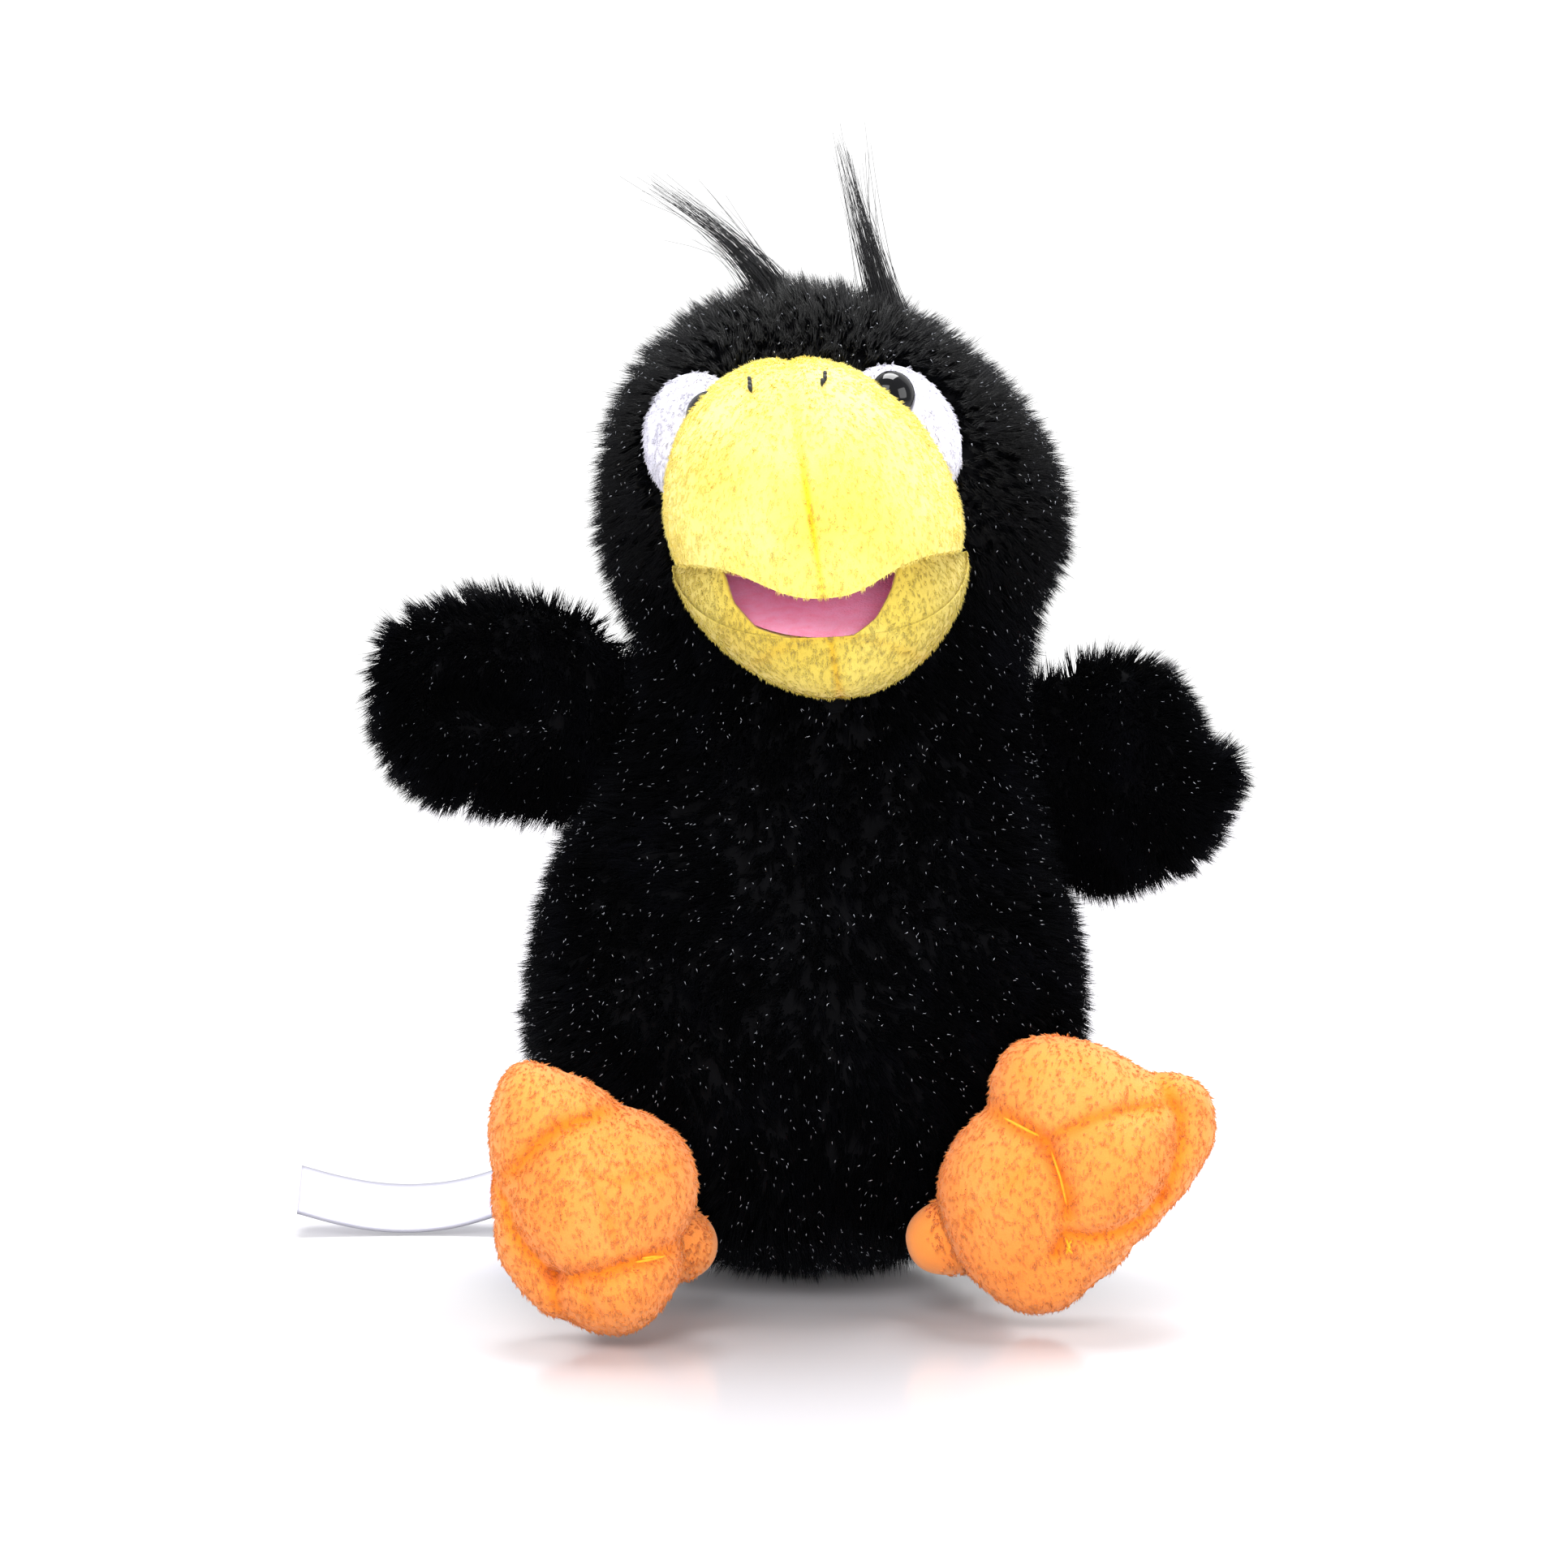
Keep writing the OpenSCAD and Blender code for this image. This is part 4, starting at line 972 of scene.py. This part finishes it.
# %% [markdown]
# ## Feet
#
# A foot is a plush pillow, cut to a lobed outline and then drawn into toes by creases that are
# stitched right through it. The outline gives its reach in each direction, the two faces bulge like
# a cushion, and every crease is a groove along a line across the sole.
# %% Feet
FEET = {
    "left": dict(
        middle=[64.3, -68, 37.7], hip=[33, -57, 19],
        outline=[[33.5, 8], [29.5, 0.5], [22, -9.5], [14, -18], [3.5, -28], [-3, -34], [-12, -35.4],
                 [-19.5, -31.5], [-28.5, -22.5], [-32.5, -12], [-34, -3.5], [-31.5, 4.5], [-26, 12],
                 [-21.5, 16], [-21.3, 22],
                 [-17, 30.5], [-9.5, 33.3], [0, 32.5], [9.5, 29], [16, 24.8], [19, 23.8], [24, 24.2],
                 [29.5, 22], [32.5, 18]],
        creases=[([[-22, 16.5], [-17, 15], [-10, 11.5], [-7.5, 9.5]], 3.2, 2.6),
                 ([[-9, 9.5], [-4.5, 12.5], [2, 15.5], [9.5, 17.3], [18, 17.6], [22, 17]], 1.8, 1.8),
                 ([[-6.5, 7], [-4.5, 1.5], [-3, -2.5], [-3, -7]], 3.6, 2.4),
                 ([[-5.5, -17], [-3.5, -12], [2, -13], [8.5, -12], [14.5, -8.7], [19.5, -3.7]], 3.4, 2.2),
                 ([[19.5, 24], [21.2, 19], [23.5, 15], [23.5, 7.5], [22, 2.7], [19.5, -3.7]], 3.6, 2.4),
                 ([[-7, 8], [-12, 5], [-17.5, -1], [-22.5, -5], [-27, -10.5]], 0.7, 1.3)],
        bulges=[(-18, -3, 13, 3.5), (9, 2, 13, 4.5), (0, 24, 12, 2), (29, 12, 7, -4), (-6, -25, 12, -1.5)],
        threads=[[[-18, 15.6], [-13.2, 13.2], [-9.4, 11.2]], [[-6.8, 7.8], [-4.6, 1.4], [-3, -5.5]],
                 [[-3.4, -13], [-2.4, -15], [-3.2, -17]], [[-1.8, -13.4], [-3, -15.2], [-1.6, -16.6]]]),
    "right": dict(
        middle=[-49.8, -84, 34.8], hip=[-30, -59, 18],
        outline=[[25.2, 3], [24.6, -2], [22.4, -8], [20.6, -10.5], [21.6, -14], [21.2, -18.5], [19, -23.5],
                 [15, -29], [9, -33], [4, -33.6], [-2.5, -32], [-6.5, -30], [-11, -29], [-15.5, -25.5],
                 [-19.5, -20.5], [-22.8, -15.5], [-24, -5.5], [-24.2, 6.5], [-25.3, 14.5], [-24.7, 21.5],
                 [-22.7, 27.7], [-20, 31.5], [-18, 33], [-12.5, 32.3], [-8, 30.5], [-2.5, 28.8], [1.5, 26.5],
                 [4.5, 24], [6, 22.6], [11.5, 21], [16.5, 18.2], [21.3, 14.3], [23.8, 10]],
        creases=[([[-20, 7], [-18, 8.5], [-12.5, 15], [-8, 19], [-3.5, 20], [4, 22], [7, 23.5]], 3.2, 2.4),
                 ([[-24.5, 6], [-20, 0.7], [-18.8, -4.6], [-15.7, -9.7], [-12, -14], [-9, -17]], 3.4, 2.2),
                 ([[-9, -17], [-4.4, -16.4], [-2, -15.4], [3, -14.5], [6.6, -13], [12, -11.6],
                   [22, -10]], 3.4, 2.3),
                 ([[-9, -17], [-8.6, -22.6], [-7.2, -28]], 2.8, 2.0), ([[-2.5, -16.5], [0.4, -25]], 1.4, 1.8),
                 ([[-1, 9.2], [6.6, 7.2], [12.7, 8.7], [24, 10.2]], 0.8, 1.2),
                 ([[-1, 9.2], [1.4, 6.3], [3.3, 2], [4.2, -2.2], [6, -8.3], [6.6, -13.5]], 0.8, 1.2)],
        bulges=[(-2, 2, 15, 5), (14, 6, 10, 2), (-15, 22, 11, 1), (-17, -17, 9, -5), (7, -23, 10, 5)],
        threads=[[[10, -12.2], [13.5, -11.6], [17, -11]], [[11.5, -11.3], [14, -11], [16.4, -11.2]]])}
FRONT, BACK = 17.0, 13.0  # how far the sole and the upper bulge from the middle


def line_gap(x, z, line):
    """Distance from points to a bent line across the sole."""
    gaps = []
    for a, b in zip(np.array(line[:-1], float), np.array(line[1:], float)):
        way = b - a
        t = np.clip(((x - a[0]) * way[0] + (z - a[1]) * way[1]) / (way @ way), 0, 1)
        gaps.append(np.hypot(x - a[0] - t * way[0], z - a[1] - t * way[1]))
    return np.min(gaps, axis=0)


def outline_reach(outline, turn):
    """Reach of an outline in each direction: its corners, read round the circle and rounded off."""
    corners = np.array(outline, float)
    angle, far = np.arctan2(corners[:, 1], corners[:, 0]) % TURN, np.hypot(corners[:, 0], corners[:, 1])
    order = np.argsort(angle)
    total = 0
    for shift, weight in ((-0.07, 0.25), (0, 0.5), (0.07, 0.25)):
        total = total + weight * np.interp((turn + shift) % TURN, angle[order], far[order], period=TURN)
    return total


def foot_local(word, x, z, swell):
    """How far the sole stands forward of the foot's middle plane at a place on it."""
    forward = FRONT * swell
    for bx, bz, size, out in FEET[word]["bulges"]:
        forward = forward + out * swell * np.exp(-((x - bx) ** 2 + (z - bz) ** 2) / size**2)
    for line, deep, wide in FEET[word]["creases"]:
        gap = line_gap(x, z, line)
        groove = 0.6 * np.exp(-((gap / wide) ** 2)) + 0.4 * np.exp(-gap / wide)
        forward = forward - deep * swell**0.5 * groove
    return forward


def foot(word, inset):
    """The pillow of a foot, drawn a given depth inside its cloth."""
    plan = FEET[word]

    def surface(u, v):
        """Longitude u runs round the outline and v from the middle of the upper to that of the sole."""
        turn, rise = TURN * (u % 1), (np.clip(v, 0.003, 0.997) - 0.5) * math.pi
        reach = (outline_reach(plan["outline"], turn) - inset) * np.cos(rise) ** 0.72
        x, z = reach * np.cos(turn), reach * np.sin(turn)
        swell = np.maximum(np.sin(rise), 0) ** 0.9
        y = np.where(rise > 0, -foot_local(word, x, z, swell) + inset * swell,
                     (BACK - inset) * np.maximum(-np.sin(rise), 0) ** 0.9)
        return np.array(plan["middle"], float) + np.stack([x, y, z], -1)
    return surface


def foot_crease_painted_shade(word):
    """Painted shade in the creases: 1 in the bottom of a crease, 0 away from it, where the plush shows its
    deeper tone.
    """
    middle = np.array(FEET[word]["middle"], float)

    def deep(p):
        q = p - middle
        shades = [min(depth / 2.4, 1.0) * np.exp(-((line_gap(q[:, 0], q[:, 2], line) / (0.9 * wide)) ** 2))
                  for line, depth, wide in FEET[word]["creases"]]
        return np.max(shades, axis=0) * (q[:, 1] < 2)
    return deep


def foot_comb(centre):
    """Short pile on the feet lies down and slightly to one side."""
    same = np.ones(len(centre))
    return np.stack([0.35 * np.sin(centre[:, 2] / 12), -0.2 * same, -same], -1)


for index, (word, plan) in enumerate(FEET.items()):
    middle, hip = plan["middle"], plan["hip"]
    cover = outward(foot(word, 0.9))
    plush = solid_skin(f"{word}_foot_plush", cover, 160, 110, orange_pile)
    # Painted shade in the foot's creases.
    shade(plush, foot_crease_painted_shade(word))
    draw = np.random.default_rng(50 + index)
    # The foot's pile shares the painted shade of the creases.
    pile = grow(f"{word}_foot_pile", cover, int(30000 * quality), draw, [orange_pile], 1.25,
                0.107 / math.sqrt(quality), foot_comb, lean=1.45, tuft=4, spread=0.5, gather=0.3, jitter=0.1,
                keep=lambda p: p[..., 2] > 1.0, floor=0.3, deep=foot_crease_painted_shade(word), root_shade=0.04)
    core = solid_skin(f"{word}_foot_filling", outward(foot(word, 3.0)), 60, 40, filling)
    place(core, f"{word}_leg", "stuffing", f"{word}_foot_stuffing")
    hip, ankle = np.array(hip, float), np.array(middle) + [0, 2, -8]
    run = unit((ankle - hip)[None])[0]
    across = unit(np.cross(run, [0, 0, 1.0])[None])[0]
    over = np.cross(across, run)

    def leg(u, v, hip=hip, run=run, across=across, over=over, span=0.66 * np.linalg.norm(ankle - hip)):
        """A tube with a round end at the hip: radius rises as a quarter circle, then stays even."""
        s = -9 + (span + 9) * v
        radius = 9 * np.sqrt(np.clip(1 - np.minimum(s / 9, 0) ** 2, 0.0004, 1)) + 0.25 * np.sin(s / 2.1)
        turn = TURN * u
        return (hip + s[:, None] * run
                + radius[:, None] * (np.cos(turn)[:, None] * across + np.sin(turn)[:, None] * over))

    tube = solid_skin(f"{word}_leg_plush", outward(leg), 60, 40, orange_pile)
    leg_pile = grow(f"{word}_leg_pile", outward(leg), int(3600 * quality), draw, [orange_pile], 1.3, 0.12,
                    foot_comb, lean=0.9, tuft=5, spread=0.5, v_range=(0.25, 0.9))
    for piece in (plush, pile, tube, leg_pile):
        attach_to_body(piece, f"{word}_leg")
    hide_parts(f"{word}_foot_sole", f"{word}_foot_upper")
    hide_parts(f"{word}_leg_tube")

# %% [markdown]
# ## Threads
#
# Stitches are short lengths of thread that dip into the cloth at both ends. Each one follows the
# surface it sits on, so its middle is found by looking up the surface and not by a straight line.
# %% Threads


def tube_along(name, paths, radius, material):
    """Round threads along lists of points, closed at both ends, all in one mesh."""
    sides = 6
    points, faces, start = [], [], 0
    for path in paths:
        path = np.asarray(path, float)
        slope = unit(np.gradient(path, axis=0))
        side = unit(np.cross(slope, [0.31, 0.27, 0.91]))
        other = np.cross(slope, side)
        turns = TURN * np.arange(sides) / sides
        thick = radius * np.sqrt(np.clip(1 - np.linspace(-1, 1, len(path)) ** 4, 0.05, 1))
        ring = path[:, None] + thick[:, None, None] * (
            side[:, None] * np.cos(turns)[:, None] + other[:, None] * np.sin(turns)[:, None])
        points.append(ring.reshape(-1, 3))
        quads = grid_faces(sides, len(path))
        last = (len(path) - 1) * sides
        caps = np.array([[0, k + 1, k, k] for k in range(1, sides - 1)])
        caps = np.concatenate([caps[:, :3], last + np.array([[0, k, k + 1] for k in range(1, sides - 1)])])
        faces.append(start + np.concatenate([quads[:, [0, 1, 2]], quads[:, [0, 2, 3]], caps]))
        start += len(ring) * sides
    return make_piece(name, np.concatenate(points), np.concatenate(faces), [material])


def sole_line(word, line, lift):
    """A thread laid over the sole: bent like its line, lifted off the cloth and tucked in at both ends."""
    line = np.array(line, float)
    at = np.linspace(0, len(line) - 1, 13)
    x, z = (np.interp(at, np.arange(len(line)), column) for column in line.T)
    swell = np.full(len(x), 0.98)
    out = foot_local(word, x, z, swell) + lift * np.sin(np.linspace(0.05, math.pi - 0.05, 13)) ** 0.5 - 0.3
    return np.array(FEET[word]["middle"], float) + np.stack([x, -out, z], -1)


for word, plan in FEET.items():
    paths = [sole_line(word, line, 1.0) for line in plan["threads"]]
    threads = tube_along(f"{word}_foot_threads", paths, 0.36, orange_thread)
    place(threads, f"{word}_leg", "orange_thread", f"{word}_foot_stitches")

draw = np.random.default_rng(60)
stitches = []
for x, size in ((-9.5, 1.0), (7.5, 1.25)):
    turn = math.acos(x / BEAK_W) / TURN
    for part in ((0.345, 0.375), (0.372, 0.402), (0.398, 0.425)):
        v = np.linspace(*part, 7)
        u = np.full(7, turn) + draw.normal(0, 0.0012)
        root, away = upper_beak(u, v), normals_of(beak_skin, 1 - u if outwards(upper_beak) < 0 else u, v)
        stitches.append(root + away * (1.5 * np.sin(np.linspace(0.25, math.pi - 0.25, 7)))[:, None])
nostrils = tube_along("nostril_threads", stitches, 0.5, black_thread)
place(nostrils, "head", "black_thread", "nostril_stitches")

# %% [markdown]
# ## Crest
#
# Two tufts of long straight fibre are caught in the seam over the head. Each fibre follows the same
# bent path with its own start, end and length, so the tuft is dense at the root and ragged at the tip.
# %% Crest tufts


def crest(name, root, bend, tip, count, rng, base_width, tip_width, strays):
    """Fibres along a bent path, each tapering, as three-sided tubes with seven stations."""
    stations = 7
    t = np.linspace(0, 1, stations)[None, :, None]
    wander = rng.normal(size=(count, 1, 3))
    share = 0.22 + 0.78 * rng.uniform(0, 1, (count, 1, 1)) ** 1.4
    loose = (rng.uniform(size=(count, 1, 1)) < strays) * 2.4 + 1
    start = np.array(root) + wander * base_width
    finish = np.array(tip) + (0.35 * wander + rng.normal(size=(count, 1, 3))) * tip_width * loose
    swing = rng.normal(size=(count, 1, 3)) * tip_width * 0.4 * loose
    turn = np.array(bend) + wander * base_width * 0.7 + swing
    reach = t * share
    path = (1 - reach) ** 2 * start + 2 * reach * (1 - reach) * turn + reach**2 * finish
    slope = unit(np.gradient(path, axis=1))
    side = unit(np.cross(slope, rng.normal(size=(count, 1, 3))))
    other = np.cross(slope, side)
    turns = TURN * np.arange(3) / 3
    radius = (0.11 * (1 - 0.7 * t))[..., None]
    ring = path[:, :, None] + radius * (side[:, :, None] * np.cos(turns)[:, None]
                                        + other[:, :, None] * np.sin(turns)[:, None])
    quads = grid_faces(3, stations)
    faces = np.concatenate([quads[:, [0, 1, 2]], quads[:, [0, 2, 3]], [[0, 2, 1]], [[18, 19, 20]]])
    faces = (faces[None] + 3 * stations * np.arange(count)[:, None, None]).reshape(-1, 3)
    return make_piece(name, ring.reshape(-1, 3), faces, [crest_fibre])


draw = np.random.default_rng(70)
right_tuft = crest("right_crest_fibres", [-6, 2, 239], [-14, 0, 254], [-39, -4, 269], 330, draw,
                   np.array([2.9, 2.2, 1.0]), np.array([1.5, 1.8, 1.4]), 0.36)
left_tuft = crest("left_crest_fibres", [22, 2, 231], [15.5, 1, 252], [8.5, -2, 279], 320, draw,
                  np.array([2.4, 2.2, 1.0]), np.array([1.1, 1.8, 1.4]), 0.36)
for word, tuft in (("right", right_tuft), ("left", left_tuft)):
    place(tuft, "head", "crest_fibre", f"{word}_crest_tuft")

# %% [markdown]
# ## Sewn-in tape
#
# A blank satin tape is caught in the side seam near the seat. It curls down to the surface it lies
# on and lifts again at its free end.
# %% Tape
tape_route = smooth_rows([[-50, 30, 22, 0], [-59, 36, 18.5, 0], [-69, 39.5, 14, 0], [-79, 41, 9.5, 0],
                          [-90, 41.5, 6.4, 0], [-100, 41.5, 5.4, 0], [-110, 41, 6, 0], [-120, 40.5, 8, 0],
                          [-129, 40, 10.6, 0]], 60)[:, :3]
TAPE_WIDTH, TAPE_THICK = 19.0, 0.35
lay = math.radians(62)
tape_length = np.linalg.norm(np.diff(tape_route, axis=0), axis=1).sum()


def tape(s, w, side):
    """Across by w and along by s: the route plus the width, which leans back from upright."""
    base = np.stack([np.interp(s, np.linspace(0, 1, 60), column) for column in tape_route.T], -1)
    half = (w - 0.5) * TAPE_WIDTH
    curl = 0.5 * np.sin(3 * s) * np.sin(math.pi * w)
    out = side * TAPE_THICK / 2 + curl
    return base + np.stack([0 * s, half * math.sin(lay) + out * math.cos(lay),
                            half * math.cos(lay) - out * math.sin(lay)], -1)


there_and_back = np.concatenate([np.linspace(0, 1, 12), np.linspace(1, 0, 12)])
s_grid, w_grid = np.meshgrid(np.linspace(0, 1, 90), there_and_back, indexing="ij")
side_grid = np.broadcast_to(np.repeat([1.0, -1.0], 12), s_grid.shape)
tape_points = tape(s_grid.ravel(), w_grid.ravel(), side_grid.ravel())
tape_quads = grid_faces(24, 90)
caps = [[k, k + 1, 22 - k, 23 - k] for k in range(11)]
caps += [[89 * 24 + 23 - k, 89 * 24 + 22 - k, 89 * 24 + k + 1, 89 * 24 + k] for k in range(11)]
label = make_piece("blank_satin_tape", tape_points, np.concatenate([tape_quads, caps]), [satin])
# Painted shade along both edges of the tape.
write_shade(label, np.exp(-((w_grid.ravel() * (1 - w_grid.ravel())) / 0.05) ** 2))
place(label, "body", "satin_tape", "care_label")
print("tape length", round(tape_length, 1), "mm")

# %% [markdown]
# ## Finishes of the parts inside
#
# The glove lining, hem, pellet bag, mouth boards and eye washers keep their engineered shape, and
# only get a cloth, board or plastic finish.
# %% Inner finishes
inner = {
    "sleeve_lining": cloth("black_lining", [(0.012, 0.012, 0.014), (0.03, 0.03, 0.034)], 60, bump=0.3),
    "seat_pellet_bag": cloth("pellet_bag_cloth", [(0.62, 0.58, 0.48), (0.72, 0.68, 0.58)], 120, bump=0.8,
                             bump_scale=500),
    "upper_mouth_plate": cloth("mouth_board", [(0.36, 0.31, 0.24), (0.44, 0.39, 0.31)], 150, sheen=0.0,
                               bump=0.2),
    "left_eye_washer": plain("washer_plastic", (0.8, 0.8, 0.78), 0.35)}
same = {"opening_hem": "sleeve_lining", "neck_lining": "sleeve_lining",
        "lower_mouth_plate": "upper_mouth_plate", "right_eye_washer": "left_eye_washer"}
for node in [*inner, *same]:
    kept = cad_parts[node]
    kept.data.materials.clear()
    kept.data.materials.append(inner[same.get(node, node)])

# %% [markdown]
# ## Camera, light and floor
# %% Camera and studio
camera_data = bpy.data.cameras.new("camera")
camera = bpy.data.objects.new("camera", camera_data)
bpy.context.scene.collection.objects.link(camera)
bpy.context.scene.camera = camera
DISTANCE, RISE, LENS = 1.5, math.radians(8), 139.75
target = np.array([-0.0052, 0, 0.1208])
camera.location = target + DISTANCE * np.array([0, -math.cos(RISE), math.sin(RISE)])
camera.rotation_euler = (math.pi / 2 - RISE, 0, 0)
camera_data.sensor_width = 36
camera_data.lens = LENS
camera_data.clip_end = 20

floor_material = plain("pale_gloss_floor", (0.62, 0.61, 0.64), 0.16, specular=0.3)
floor_x, floor_y = np.meshgrid(np.linspace(-3000, 3000, 9), np.linspace(-3000, 3000, 9))
floor_points = np.stack([floor_x.ravel(), floor_y.ravel(), np.zeros(81)], -1)
floor = make_piece("floor", floor_points, grid_faces(9, 9, closed=False), [floor_material])
# The backdrop glows on its front and is clear from behind, so the puppet's back can be looked at too
wall_material = bpy.data.materials.new("white_backdrop")
wall_material.use_nodes = True
wall_nodes, wall_links = wall_material.node_tree.nodes, wall_material.node_tree.links
wall_nodes.remove(wall_nodes["Principled BSDF"])
glow, clear = wall_nodes.new("ShaderNodeEmission"), wall_nodes.new("ShaderNodeBsdfTransparent")
facing, either = wall_nodes.new("ShaderNodeNewGeometry"), wall_nodes.new("ShaderNodeMixShader")
glow.inputs["Strength"].default_value = 1.15
wall_links.new(facing.outputs["Backfacing"], either.inputs[0])
wall_links.new(glow.outputs[0], either.inputs[1])
wall_links.new(clear.outputs[0], either.inputs[2])
wall_links.new(either.outputs[0], wall_nodes["Material Output"].inputs["Surface"])
wall_points = np.array([[-3000, 800, -5], [3000, 800, -5], [3000, 800, 3000], [-3000, 800, 3000]], float)
wall = make_piece("backdrop", wall_points, np.array([[0, 1, 2, 3]]), [wall_material])

world = bpy.data.worlds.new("studio")
bpy.context.scene.world = world
world.use_nodes = True
world.node_tree.nodes["Background"].inputs["Color"].default_value = (1, 1, 1, 1)
world.node_tree.nodes["Background"].inputs["Strength"].default_value = 0.54
bpy.context.scene.view_settings.view_transform = "Standard"


def soft_light(name, place, size, watts):
    """A square softbox that looks at the middle of the puppet."""
    light = bpy.data.lights.new(name, "AREA")
    light.size, light.energy = size, watts
    lamp = bpy.data.objects.new(name, light)
    bpy.context.scene.collection.objects.link(lamp)
    lamp.location = place
    to = target - np.array(place)
    from_down = math.atan2(math.hypot(to[0], to[1]), -to[2])
    lamp.rotation_euler = (from_down, 0, math.atan2(to[1], to[0]) - math.pi / 2)


soft_light("front_top_softbox", (-0.3, -1.1, 1.1), 0.8, 11)
soft_light("front_low_softbox", (0.1, -1.4, 0.2), 0.5, 11)
soft_light("top_softbox", (0.1, 0.35, 1.5), 0.9, 36)
soft_light("left_softbox", (-1.3, -0.5, 0.6), 0.7, 4)
soft_light("right_softbox", (1.3, -0.6, 0.6), 0.7, 6)
